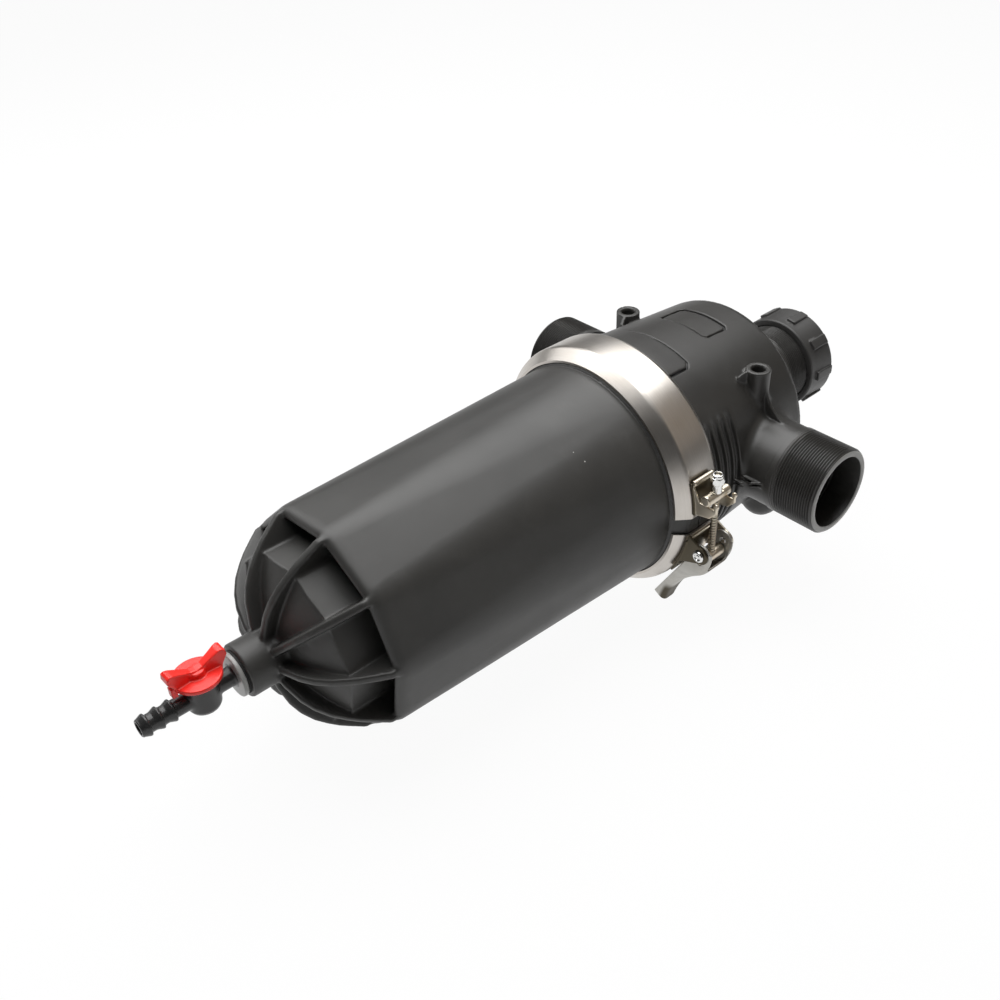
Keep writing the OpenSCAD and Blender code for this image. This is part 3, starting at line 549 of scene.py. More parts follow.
class FILTER_OT_head(bpy.types.Operator):
    """Moulds the head: cone, ports, gauge bosses, webs, grip grooves and label fields"""
    bl_idname = "filter.head"
    bl_label = "Head"

    def execute(self, context):
        fillet = sizes().neck_fillet/MM
        head = Moulding((-141, -100, -99), (141, 127, 104.5), 0.9)
        skin = lambda y: np.interp(y, (-77, -50, 50), (99.4, 97.0, 91.4)).astype(np.float32)

        def body(x, y, z):
            return meet(np.hypot(x, z) - skin(y), between(y, JOINT_Y, HEAD_REAR), 3.0)
        head.add(body)
        flange = [(60, -100), (FLANGE_R, -100), (FLANGE_R, -82.3), (99.2, -77.2), (60, -77.2)]
        head.add(turned(flange, 1), ((-108, -104, -108), (108, -72, 108)))
        head.add(self.pad(skin), ((-60, -80, 60), (60, -40, 108)), 0.6)
        for side in (-1, 1):
            self.port(head, side, fillet)
            self.boss(head, side)
            self.foot(head, side)
        head.add(rod(1, NECK_R, 0, 104), ((-60, 30, -60), (60, 110, 60)), 8.0)
        head.add(rod(1, 35, 90, 126), ((-40, 85, -40), (40, 127, 40)))
        for side in (-1, 1):
            self.grooves(head, skin, side)
        self.fields(head, skin)
        self.hollow(head)
        show(head.mesh("filter_head_moulding", 190000), "root", "head_plastic", "filter_head")
        return {"FINISHED"}

    @staticmethod
    def pad(skin):
        """The raised pad behind the band, with its rear corners cut off."""
        def shape(x, y, z):
            return meet(np.maximum(pad_edge(x, y, z), -76 - y), np.hypot(x, z) - skin(y) - 0.9, 0.8)
        return shape

    @staticmethod
    def port(head, side, fillet):
        """One neck, with its gusset at the parting line."""
        low, high = on_side(side, 40, 141)
        box = ((low, -70, -70), (high, 70, 70))
        head.add(rod(0, NECK_R, *on_side(side, 40, 119.2)), box, fillet)
        head.add(rod(0, 35, *on_side(side, 80, 140.8)), box)
        for level in (-1.7, 1.7):
            def gusset(x, y, z):
                ax = x*side
                flat = outline(ax, y, [(80, -62), (97, -54), (117, -36), (117, -20), (80, -20)])
                return meet(flat, between(z, level - 0.9, level + 0.9), 0.8)
            head.add(gusset, box, 1.2)

    @staticmethod
    def boss(head, side):
        """A gauge boss with its curved web, its stay and its tapped hole."""
        gx, gy = side*GAUGE[0], GAUGE[1]
        low, high = on_side(side, 40, 125)
        box = ((low, -40, 20), (high, 40, 80))
        head.add(rod(2, 10.5, 20, GAUGE_TOP, (gx, gy, 0), 1.0), box, 3.0)

        def web(x, y, z):
            ax = x*side
            span = outline(ax, z, [(73, 10), (112.5, 10), (112.5, 69.9), (73, 69.9)])
            bite = 36 - np.hypot(ax - 118.5, z - 69.9)
            return meet(np.maximum(span, bite), between(y, gy - 1.6, gy + 1.6), 0.6)
        head.add(web, box, 1.2)
        turn = math.radians(-115)
        ux, uy = math.cos(turn), math.sin(turn)

        def stay(x, y, z):
            dx, dy = x*side - GAUGE[0], y - gy
            out = dx*ux + dy*uy
            across = np.abs(dy*ux - dx*uy) - 1.7
            top = z - (GAUGE_TOP - 1) + np.maximum(out - 13, 0)*0.7
            return meet(meet(np.maximum(between(out, 0, 19), across), top, 1.5), 40 - z)
        head.add(stay, box, 1.2)
        hole = [(0, 40), (4.2, 40), (4.2, 61.7), (5.7, 61.7), (5.7, 75.2), (7.0, 77.5), (0, 77.5)]
        head.cut(turned(hole, 2, (gx, gy, 0)), box, 0.5)

    @staticmethod
    def foot(head, side):
        def shape(x, y, z):
            r = np.hypot(x - side*76, y - 24)
            ball = np.sqrt(np.maximum(r, 0)**2 + np.minimum(z + 62, 0)**2) - 18
            return np.maximum(ball, z + 10)
        low, high = on_side(side, 45, 108)
        head.add(shape, ((low, -8, -86), (high, 56, 0)), 5.0)

    @staticmethod
    def grooves(head, skin, side):
        """Grip grooves beside the band, running out upwards."""
        for i in range(4):
            y0 = -72.3 + 9.0*i

            def groove(x, y, z):
                angle = np.degrees(np.arctan2(z, x*side))
                up = np.clip((45 - angle)/20, 0, 1)
                down = np.clip((angle + 80)/12, 0, 1)
                depth = 6.2*up*up*(3 - 2*up)*down - 2.0
                return meet(between(y, y0, y0 + 5.4), skin(y) - depth - np.hypot(x, z), 2.0)
            low, high = on_side(side, 15, 108)
            head.cut(groove, ((low, y0 - 5, -100), (high, y0 + 11, 100)), 1.6)

    @staticmethod
    def fields(head, skin):
        """The sunk label field on top and the dark line round it and round the pad."""
        def field(x, y, z):
            corner = (np.abs(x) + np.abs(y - 5) - 37.5)/ROOT2
            return np.maximum(np.maximum(np.abs(x) - 26, between(y, -10, 20)), corner)

        def sunk(x, y, z):
            return meet(field(x, y, z), skin(y) - 0.8 - np.hypot(x, z), 0.3)

        def line(x, y, z):
            rim = np.maximum(field(x, y, z), -field(x, y, z) - 1.8)
            return np.maximum(np.maximum(rim, skin(y) - 2.4 - np.hypot(x, z)), -8 - y)

        def pad_line(x, y, z):
            flat = pad_edge(x, y, z)
            ring = np.maximum(-flat, flat - 1.7)
            return np.maximum(np.maximum(ring, skin(y) - 1.6 - np.hypot(x, z)), -75 - y)
        head.cut(sunk, ((-35, -20, 70), (35, 30, 108)), 0.3)
        head.cut(line, ((-35, -20, 70), (35, 30, 108)))
        head.cut(pad_line, ((-62, -78, 50), (62, -38, 108)))

    @staticmethod
    def hollow(head):
        """The chamber, the centre tube and the bores."""
        chamber = [(0, -104), (86.2, -104), (86.2, -100), (84.5, -50), (84.5, 36), (77.5, 43), (0, 43)]
        head.cut(turned(chamber, 1), ((-92, -106, -92), (92, 50, 92)))
        head.add(rod(1, 33, -104, 49), ((-40, -104, -40), (40, 50, 40)))
        head.add(rod(0, 34, 0, 90), ((0, -40, -40), (92, 40, 40)))
        head.cut(rod(1, 29, -110, 50), ((-40, -106, -40), (40, 50, 40)))
        head.cut(rod(1, BORE_R, 49.5, 140), ((-40, 44, -40), (40, 130, 40)))
        head.cut(rod(0, BORE_R, -150, -36), ((-145, -40, -40), (-30, 40, 40)))
        head.cut(rod(0, BORE_R, 0, 150), ((0, -40, -40), (145, 40, 40)))


def thread_sleeve(start, end, pitch, depth, turn):
    """A threaded pipe end: helical rows, chamfered mouth, bore and hidden seat, along an axis."""
    columns = 120
    angle = np.linspace(0, 2*math.pi, columns, endpoint=False)
    length = end - start
    stations = np.arange(0, length - 0.8, pitch/8)
    rows = []
    for s in stations:
        phase = (s/pitch - angle/(2*math.pi)) % 1.0
        cut = np.clip(np.abs(2*phase - 1)*1.5 - 0.25, 0, 1)
        fade = np.clip((s - 4.0)/6.0, 0, 1)
        rise = np.clip((length - 0.8 - s)/1.6, 0, 1)
        r = THREAD_R - depth*cut*fade
        r = np.minimum(r, THREAD_R - 1.5*(1 - rise))
        rows.append((np.full(columns, s), r))
    for s, r in ((length - 0.25, 35.7), (length, 35.2), (length, 31.9), (length - 0.3, 31.3), (length - 1.0, BORE_R),
                 (length - 24.0, BORE_R), (length - 24.0, 34.2), (0.4, 34.2)):
        rows.append((np.full(columns, s), np.full(columns, r)))
    points = [np.stack([start + s, r*np.cos(angle), r*np.sin(angle)], axis=1) for s, r in rows]
    return np.stack(points) @ np.array(turn, float).T


class FILTER_OT_threads(bpy.types.Operator):
    """Cuts the pipe threads of the two ports and the rear stub"""
    bl_idname = "filter.threads"
    bl_label = "Port threads"

    def execute(self, context):
        pitch, depth = sizes().thread_pitch/MM, sizes().thread_depth/MM
        places = {
            "outlet_thread": (THREAD_START, PORT_END, ((1, 0, 0), (0, 1, 0), (0, 0, 1))),
            "inlet_thread": (THREAD_START, PORT_END, ((-1, 0, 0), (0, -1, 0), (0, 0, 1))),
            "rear_thread": (105.0, STUB_END, ((0, -1, 0), (1, 0, 0), (0, 0, 1))),
        }
        for name, (start, end, turn) in places.items():
            mesh = swept_mesh(name, thread_sleeve(start - 1.5, end, pitch, depth, turn), True, 50.0)
            mesh.flip_normals()
            show(mesh, "root", "head_plastic")
        return {"FINISHED"}


class FILTER_OT_bowl(bpy.types.Operator):
    """Moulds the bowl: lofted ten-sided barrel, rim, cup with ribs, and drain collar"""
    bl_idname = "filter.bowl"
    bl_label = "Bowl"

    def execute(self, context):
        bowl = Moulding((-105, -453, -105), (105, -100.3, 105), 1.0)
        bowl.add(self.barrel(sizes().rim_round/MM))
        flare = [(60, -126), (94.2, -124), (95.7, -122.4), (FLANGE_R, -112.4), (FLANGE_R, -100.3), (60, -100.3)]
        bowl.add(turned(flare, 1), ((-108, -128, -108), (108, -98, 108)))
        nose = ((-90, -460, -90), (90, -364, 90))
        bowl.cut(self.prism(82.0, RIM_Y - 8, RIM_FLOOR), nose, 2.0)
        bowl.add(self.prism(67.0, NOSE_TOP, RIM_FLOOR + 3), nose, 1.0)

        def dome(x, y, z):
            ball = np.sqrt(x*x + (y - NOSE_TOP + 19 - 117.7)**2 + z*z) - 117.7
            return np.maximum(np.maximum(ball, np.hypot(x, z) - 63.2), y - NOSE_TOP - 2)
        bowl.add(dome, nose, 1.0)
        bowl.add(rod(1, 20, COLLAR_FACE, NOSE_TOP, soft=2.0), nose, 4.0)
        bowl.add(self.ribs, nose, 1.8)
        inside = lambda y: np.interp(y, (-365, -364.6, -123, -99), (58, 78.5, 89.2, 89.2))

        def chamber(x, y, z):
            r = np.hypot(x, z)
            step = np.interp(y, (-404, -398), (46, 58))
            wall = np.where(y < -364.8, step, inside(y))
            return np.maximum(r - wall, -404 - y)
        bowl.cut(chamber, ((-95, -410, -95), (95, -99, 95)))
        bowl.cut(rod(1, 13.2, -460, -422.5), ((-20, -460, -20), (20, -415, 20)), 0.8)
        bowl.cut(rod(1, 9.2, -430, -400), ((-20, -435, -20), (20, -395, 20)))
        groove = [(92.3, -105.5), (98.1, -105.5), (98.1, -99), (92.3, -99)]
        bowl.cut(turned(groove, 1), ((-101, -108, -101), (101, -99, 101)))
        show(bowl.mesh("filter_bowl_moulding", 150000), "root", "bowl_plastic", "filter_bowl")
        return {"FINISHED"}

    @staticmethod
    def corner_angle(x, z):
        """Angle from the nearest corner of the ten-sided nose."""
        angle = np.arctan2(z, x) - math.radians(RIB_TURN)
        return np.abs((angle + HALF_SIDE) % (2*HALF_SIDE) - HALF_SIDE)

    def barrel(self, soft):
        """A round top lofted to a ten-sided rim with rounded corners."""
        def shape(x, y, z):
            r, phi = np.hypot(x, z), self.corner_angle(x, z)
            t = np.clip((BAND_FRONT - y)/(BAND_FRONT - RIM_Y - 4), 0, 1)
            centre, corner = t*63.8, (1 - t)*94.2 + t*24
            turn = np.arctan2(corner*math.sin(HALF_SIDE), centre + corner*math.cos(HALF_SIDE))
            bend = centre*np.cos(phi) + np.sqrt(np.maximum(corner**2 - (centre*np.sin(phi))**2, 1))
            flat = (centre*math.cos(HALF_SIDE) + corner)/np.cos(phi - HALF_SIDE)
            return meet(r - np.where(phi < turn, bend, flat), between(y, RIM_Y, JOINT_Y - 20), soft)
        return shape

    def prism(self, radius, low, high):
        def shape(x, y, z):
            side = np.hypot(x, z)*np.cos(self.corner_angle(x, z) - HALF_SIDE) - radius*math.cos(HALF_SIDE)
            return meet(side, between(y, low, high), 0.8)
        return shape

    def ribs(self, x, y, z):
        """Ten thin ribs with round crests from the collar to the rim's inner corners."""
        r, phi = np.hypot(x, z), self.corner_angle(x, z)
        top = np.interp(r, (16, 25, 40, 50, 60, 68, 74, 80, 84, 87),
                        (-434, -433.5, -430, -425.5, -418.5, -410.5, -403.5, -395, -389, -385))
        crest = (top - y)*0.75
        reach = np.maximum(r - 86.2, 16 - r)
        flat = np.maximum(meet(crest, reach, 1.5), y + 367)
        return meet(flat, r*np.sin(phi) - 2.9, 2.4)


class FILTER_OT_band(bpy.types.Operator):
    """Rolls the clamp band with its rounded shoulders and open ends"""
    bl_idname = "filter.band"
    bl_label = "Clamp band"

    def execute(self, context):
        outer = self.rounded([(98.0, -123.0), (106.5, -113.0), (106.5, -82.0), (102.0, -77.0)], (0, 6.5, 4.0, 0))
        inner = self.rounded([(96.0, -123.0), (104.5, -113.0), (104.5, -82.0), (100.0, -77.0)], (0, 4.5, 3.0, 0))
        loop = np.array(outer + inner[::-1])
        rows = []
        for a in np.radians(np.linspace(1.0, 352.0, 361)):
            rows.append(np.stack([loop[:, 0]*math.cos(a), loop[:, 1], loop[:, 0]*math.sin(a)], axis=1))
        mesh = swept_mesh("clamp_band_rolled", rows, False, 40.0)
        show(mesh, "root", "band_steel", "clamp_band")
        return {"FINISHED"}

    @staticmethod
    def rounded(points, radii, steps=7):
        """A path with its inner corners turned into arcs."""
        path = []
        for i, (p, radius) in enumerate(zip(points, radii)):
            p = np.array(p)
            if radius <= 0:
                path.append(tuple(p))
                continue
            a, b = np.array(points[i - 1]) - p, np.array(points[i + 1]) - p
            a, b = a/np.linalg.norm(a), b/np.linalg.norm(b)
            half = math.acos(float(np.dot(a, b)))/2
            reach = radius/math.tan(half)
            centre = p + (a + b)/np.linalg.norm(a + b)*radius/math.sin(half)
            start, end = p + a*reach - centre, p + b*reach - centre
            for k in range(steps + 1):
                spoke = start + (end - start)*k/steps
                path.append(tuple(centre + spoke/np.linalg.norm(spoke)*radius))
        return path


def curved_pad(start, sweep, near, far, soft):
    """A plate bent round the band."""
    def shape(x, y, z):
        angle = np.degrees(np.arctan2(z, x))
        ends = between(angle, start, start + sweep)*math.radians(1)*107
        shell = between(np.hypot(x, z), 106.55, 108.55)
        return meet(meet(shell, between(y, near, far), soft), ends, soft)
    return shape


class FILTER_OT_clamp_plates(bpy.types.Operator):
    """Presses the bolt saddle, the lever's bracket and its rivets"""
    bl_idname = "filter.clamp_plates"
    bl_label = "Clamp plates"

    def execute(self, context):
        edge = sizes().sheet_edge/MM
        self.saddle(edge)
        self.bracket(edge)
        self.rivets()
        return {"FINISHED"}

    @staticmethod
    def saddle(edge):
        saddle = Moulding((98, -113, 3), (131, -87, 37), 0.3)
        saddle.add(curved_pad(3.0, 15.0, -112.8, -87.2, edge))
        hook = BOLT_X + 10.5
        ear = [(100.5, 5), (122, 10), (hook, 17), (hook, 24), (hook - 2.5, 24), (hook - 2.5, 20),
               (112, 20), (104.5, 32)]

        def ears(x, y, z):
            flat = join(outline(x, z, ear), np.hypot(x - hook + 1.25, z - 24) - 2.2, 1.0)
            flat = np.maximum(flat, 107.5 - np.hypot(x, z))
            return meet(flat, np.minimum(between(y, -112, -110), between(y, -90, -88)), edge)
        saddle.add(ears, soft=1.0)
        lip = math.radians(18)
        saddle.add(rod(1, 2.4, -111.5, -88.5, (109.55*math.cos(lip), 0, 109.55*math.sin(lip)), 1.0), soft=0.6)
        show(saddle.mesh("bolt_saddle_pressed"), "root", "plated_steel", "bolt_saddle")

    @staticmethod
    def bracket(edge):
        bracket = Moulding((90, -118.2, -57), (129, -81.8, -7), 0.34)
        bracket.add(curved_pad(-31.0, 21.5, -117.7, -82.3, edge))
        ear = [(100.5, -8), round_pivot(7.68, 70), PIVOT, round_pivot(7.68, -80), (94.5, -44)]

        def ears(x, y, z):
            flat = join(outline(x, z, ear), np.hypot(x - PIVOT[0], z - PIVOT[1]) - 8, 1.0)
            flat = np.maximum(flat, 107.5 - np.hypot(x, z))
            return meet(flat, np.minimum(between(y, *EAR_NEAR), between(y, *EAR_FAR)), edge)
        bracket.add(ears, soft=1.0)
        bracket.cut(rod(1, 3.05, -130, -70, (PIVOT[0], 0, PIVOT[1])))
        show(bracket.mesh("lever_bracket_pressed"), "root", "plated_steel", "lever_bracket")

    @staticmethod
    def rivets():
        rivets = Moulding((113, -119.4, -32), (125, -80.6, -20), 0.28)
        head = [(0, -1.9), (1.5, -1.9), (2.0, -1.3), (2.6, -1.3), (3.1, -2.3), (3.8, -2.4), (4.6, -2.0), (5.1, -1.2),
                (5.2, 0), (3.0, 0), (3.0, 4.9), (0, 4.9)]
        rivets.add(turned(head, 1, (PIVOT[0], EAR_NEAR[0], PIVOT[1])))
        rivets.add(turned([(r, -h) for r, h in head], 1, (PIVOT[0], EAR_FAR[1], PIVOT[1])))
        show(rivets.mesh("lever_rivets_set"), "root", "bright_steel", "lever_rivets")


class FILTER_OT_lever(bpy.types.Operator):
    """Presses the clamp lever: a gutter-like strap with cheeks, an open heel and a flared tip"""
    bl_idname = "filter.lever"
    bl_label = "Clamp lever"

    SWEEP, SWEEP_R = (95.6, -23.9), 34.0
    FLARE, FLARE_R = (170.51, -130.147), 96.0
    WAIST, TIP, HEEL = -54.81, 164.51, math.radians(32)

    def line(self, out):
        """Points on the web's line, moved outwards."""
        bends = ((self.SWEEP, self.SWEEP_R + out, 2, self.WAIST),
                 (self.FLARE, self.FLARE_R - out, 180 + self.WAIST, self.TIP))
        return [(centre[0] + r*math.cos(a), centre[1] + r*math.sin(a))
                for centre, r, first, last in bends for a in np.radians(np.linspace(first, last, 15)).tolist()]

    def outside(self, x, z, out):
        """Distance past the web's line, moved outwards."""
        ux, uz = math.cos(math.radians(self.WAIST)), math.sin(math.radians(self.WAIST))
        upper = (z - self.SWEEP[1])*ux - (x - self.SWEEP[0])*uz > 0
        sweep = np.hypot(x - self.SWEEP[0], z - self.SWEEP[1]) - self.SWEEP_R
        flare = self.FLARE_R - np.hypot(x - self.FLARE[0], z - self.FLARE[1])
        return np.where(upper, sweep, flare) - out

    def execute(self, context):
        edge = sizes().sheet_edge/MM
        lever = Moulding((68, -115, -105.5), (131.2, -85, -16.5), 0.36)
        width = lambda y, z: np.abs(y - JOINT_Y) - np.interp(z, (-104.5, -44.1), (8.5, 14.5)).astype(np.float32)
        side = [round_pivot(8, 195), round_pivot(8, 30)] + self.line(1.0) + [(68.66, -97.46)]

        def strap(x, y, z):
            pressed = meet(self.outside(x, z, 1.0), width(y, z), 6.0)
            return meet(pressed, outline(x, z, side), edge)

        def room(x, y, z):
            heel = -(x - self.SWEEP[0])*math.sin(self.HEEL) - (z - self.SWEEP[1])*math.cos(self.HEEL)
            return meet(np.minimum(self.outside(x, z, -1.0), heel), width(y, z) + 2, 4.0)
        lever.add(strap)
        lever.add(rod(1, 9.0, LEVER_NEAR, LEVER_FAR, (PIVOT[0], 0, PIVOT[1]), edge), soft=0.6)
        lever.cut(room)
        for centre, r in ((PIVOT, 3.05), (TRUNNION, 2.55)):
            lever.cut(rod(1, r, -120, -80, (centre[0], 0, centre[1])))
        show(lever.mesh("clamp_lever_pressed", 50000), "lever", "lever_steel", "clamp_lever")
        return {"FINISHED"}


class FILTER_OT_bolt(bpy.types.Operator):
    """Makes the clamp bolt with its rolled thread, trunnion, seat bar, washer and nut"""
    bl_idname = "filter.bolt"
    bl_label = "Bolt group"

    def execute(self, context):
        self.bolt()
        self.trunnion()
        self.seat_bar()
        self.nut()
        return {"FINISHED"}

    @staticmethod
    def bolt():
        pitch, depth = sizes().bolt_pitch/MM, 0.9
        low, high = TRUNNION[1] - 4.8, BOLT_TOP
        columns = 40
        angle = np.linspace(0, 2*math.pi, columns, endpoint=False)
        rows = []
        for s in np.arange(low + 1.0, high - 0.8, pitch/8):
            phase = ((s - low)/pitch - angle/(2*math.pi)) % 1.0
            cut = 0.5 + 0.5*np.cos(2*math.pi*phase)
            fade = min(1.0, (high - s)/1.5)
            rows.append((s, (3.0 - depth*cut)*fade + 2.4*(1 - fade)))
        point = [(high - 0.5, np.full(columns, 2.4)), (high, np.full(columns, 2.0))]
        rows = [(low, np.full(columns, 2.2))] + rows + point
        loops = [np.stack([BOLT_X + r*np.cos(angle), JOINT_Y + r*np.sin(angle), np.full(columns, s)], axis=1)
                 for s, r in rows]
        show(swept_mesh("clamp_bolt_rolled", loops, False, 60.0), "bolt", "plated_steel", "clamp_bolt")

    @staticmethod
    def trunnion():
        pin = Moulding((112.8, -114.8, -39.7), (123.2, -85.2, -29.3), 0.3)
        at = (TRUNNION[0], 0, TRUNNION[1])
        pin.add(rod(1, 2.5, LEVER_NEAR, LEVER_FAR, at, 0.6))
        pin.add(rod(1, 4.8, LEVER_NEAR + 2.4, LEVER_FAR - 2.4, at, 1.4), soft=0.6)
        pin.cut(rod(2, BOLT_HOLE, -50, -20, (BOLT_X, JOINT_Y, 0)))
        show(pin.mesh("trunnion_turned"), "bolt", "plated_steel", "trunnion")

    @staticmethod
    def seat_bar():
        bar = Moulding((113, -114, 20), (123, -86, 30), 0.3)
        bar.add(rod(1, 4.5, -113.5, -86.5, (BOLT_X, 0, SEAT_BAR_Z), 1.6))

        def flat(x, y, z):
            return np.maximum(np.abs(y - JOINT_Y) - 5.25, SEAT_FLAT - z)
        bar.cut(flat, soft=0.4)
        bar.cut(rod(2, BOLT_HOLE, 10, 40, (BOLT_X, JOINT_Y, 0)))
        show(bar.mesh("seat_bar_turned"), "bolt", "plated_steel", "seat_bar")

    @staticmethod
    def nut():
        at = (BOLT_X, JOINT_Y, 0)
        sleeve = Moulding((113.5, -104.5, 28), (122.5, -95.5, 36.2), 0.22)
        sleeve.add(rod(2, 4.25, SEAT_FLAT, SLEEVE_TOP, at, 0.7))
        sleeve.cut(rod(2, BOLT_HOLE, 20, 40, at))
        show(sleeve.mesh("bolt_washer_turned"), "bolt", "bright_steel", "bolt_washer")
        nut = Moulding((112, -106, 35.8), (124, -94, 45.2), 0.22)

        def hexagon(x, y, z):
            dx, dy = x - BOLT_X, y - JOINT_Y
            flats = np.abs(dx)
            for a in (60, 120):
                flats = np.maximum(flats, np.abs(dx*math.cos(math.radians(a)) + dy*math.sin(math.radians(a))))
            cone = np.hypot(dx, dy)*0.9 - 5.4 + np.abs(z - SLEEVE_TOP - 3.15)*0.28
            return meet(meet(flats - 5.0, between(z, SLEEVE_TOP, SLEEVE_TOP + 6.3), 0.4), cone, 0.3)
        nut.add(hexagon)
        nut.add(rod(2, 4.5, SLEEVE_TOP + 5, SLEEVE_TOP + 9, at, 1.6), soft=0.4)
        nut.cut(rod(2, BOLT_HOLE, 20, 50, at))
        show(nut.mesh("lock_nut_turned"), "bolt", "bright_steel", "lock_nut")


class FILTER_OT_cap(bpy.types.Operator):
    """Moulds the rear cap with its smooth ring and grip ribs"""
    bl_idname = "filter.cap"
    bl_label = "Rear cap"

    def execute(self, context):
        cap = Moulding((-47, CAP_FRONT, -47), (47, CAP_REAR, 47), 0.55)
        profile = [(0, CAP_FRONT), (43, CAP_FRONT), (44, CAP_FRONT + 1), (44, CAP_FRONT + 8), (44, CAP_FRONT + 9),
                   (45, CAP_REAR - 3), (42, CAP_REAR), (0, CAP_REAR)]
        cap.add(turned(profile, 1))

        def ribs(x, y, z):
            r, angle = np.hypot(x, z), np.arctan2(z, x)
            fold = (angle + math.pi/9) % (2*math.pi/9) - math.pi/9
            bar = meet(np.abs(r*np.sin(fold)) - 4.5, r - 46.6, 0.7)
            return meet(bar, between(y, CAP_FRONT + 8, CAP_REAR - 3.6), 0.7)
        cap.add(ribs, soft=0.3)
        cap.cut(rod(1, 37.9, 100, CAP_REAR - 13), soft=0.5)
        cap.cut(rod(1, 29, CAP_REAR - 9, 180), soft=1.0)
        show(cap.mesh("rear_cap_moulding", 50000), "cap", "cap_plastic", "rear_cap")
        return {"FINISHED"}


class FILTER_OT_valve(bpy.types.Operator):
    """Moulds the drain valve's body with its flange, ball housing and hose barbs"""
    bl_idname = "filter.valve"
    bl_label = "Drain valve"

    def execute(self, context):
        valve = Moulding((-17, TAIL_END, -17), (17, -428, 17), 0.32)
        valve.add(rod(1, 13.15, -454, -429.5), soft=0.6)
        valve.add(rod(1, 16.7, COLLAR_FACE - 5, COLLAR_FACE - 1.5, soft=1.2), soft=0.6)
        valve.add(rod(1, 7.0, STEM_Y, COLLAR_FACE), soft=2.0)
        tail = [(0, STEM_Y + 1), (6.4, STEM_Y + 1)]
        for i in (2, 1, 0):
            y = TAIL_END + 5.3 + 8.7*i
            tail += [(6.4, y + 1.4), (8.0, y + 0.6), (8.05, y - 0.3), (6.4, y - 4.2)]
        tail += [(6.4, TAIL_END + 0.6), (5.8, TAIL_END), (0, TAIL_END)]
        valve.add(turned(tail, 1), soft=1.0)
        house = [(0, -12), (7.5, -12), (10.2, -11), (11.4, -8.6), (11.5, -7.5), (11.5, 10), (0, 10)]
        valve.add(turned(house, 2, (0, STEM_Y, 0)), ((-17, -500, -17), (17, -460, 17)), 1.8)
        valve.cut(rod(1, 4.5, TAIL_END - 2, -425), soft=0.3)
        valve.cut(rod(2, 8.97, -8.9, 20, (0, STEM_Y, 0)))
        show(valve.mesh("valve_body_moulding", 60000), "root", "valve_plastic", "valve_body")
        return {"FINISHED"}


class FILTER_OT_handle(bpy.types.Operator):
    """Moulds the red butterfly handle with its disc, wings and stop"""
    bl_idname = "filter.handle"
    bl_label = "Valve handle"

    def execute(self, context):
        low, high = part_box("valve_handle")
        grip = Moulding(Vector(low)/MM, Vector(high)/MM, 0.32)
        grip.add(rod(2, 16.5, HANDLE_Z, HANDLE_Z + 3.5, (0, STEM_Y, 0), 1.2))
        tip = 21.0
        wing = [(-tip + 6, 0), (-tip, 10.9), (-tip + 0.6, 14.8), (-tip + 2.4, 16.0), (-tip + 5, 15.6), (-4, 9.6),
                (0, 9.0), (4, 9.6), (tip - 5, 15.6), (tip - 2.4, 16.0), (tip - 0.6, 14.8), (tip, 10.9), (tip - 6, 0)]
        along_x = (high[0] - low[0]) > (high[1] - low[1])

        def wings(x, y, z):
            u, v = (x, y - STEM_Y) if along_x else (y - STEM_Y, x)
            return meet(outline(u, z - HANDLE_Z, wing), np.abs(v) - 3.0 - 2.2*(u/tip)**2, 1.0)
        grip.add(wings, soft=1.5)
        grip.add(rod(2, 6.0, HANDLE_Z, HANDLE_Z + 8, (0, STEM_Y, 0), 1.0), soft=1.5)

        def stop(x, y, z):
            flat = np.maximum(np.abs(x) - 2.5, between(y, STEM_Y - 19.5, STEM_Y - 15.5))
            return np.maximum(flat, between(z, HANDLE_Z - 4, HANDLE_Z + 3.5))
        grip.add(stop, soft=0.8)
        show(grip.mesh("valve_handle_moulding"), "drain_handle", "handle_plastic", "valve_handle")
        return {"FINISHED"}


class FILTER_OT_inner(bpy.types.Operator):
    """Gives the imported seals, valve internals and cartridge their finishes"""
    bl_idname = "filter.inner"
    bl_label = "Inner pieces"

    NODE_FINISHES = {
        "seal_rubber": ("body_seal", "cap_gasket", "drain_gasket", "cartridge_seal"),
        "bright_steel": ("valve_ball", "valve_stem"),
        "seat_plastic": ("valve_seats",),
        "valve_plastic": ("valve_gland",),
        "spine_plastic": ("disc_spine", "press_plate", "cartridge_nut"),
        "disc_plastic": ("disc_stack",),
    }

    def execute(self, context):
        for name, nodes in self.NODE_FINISHES.items():
            for node in nodes:
                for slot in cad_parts[node].material_slots:
                    slot.material = finish(name)
        return {"FINISHED"}


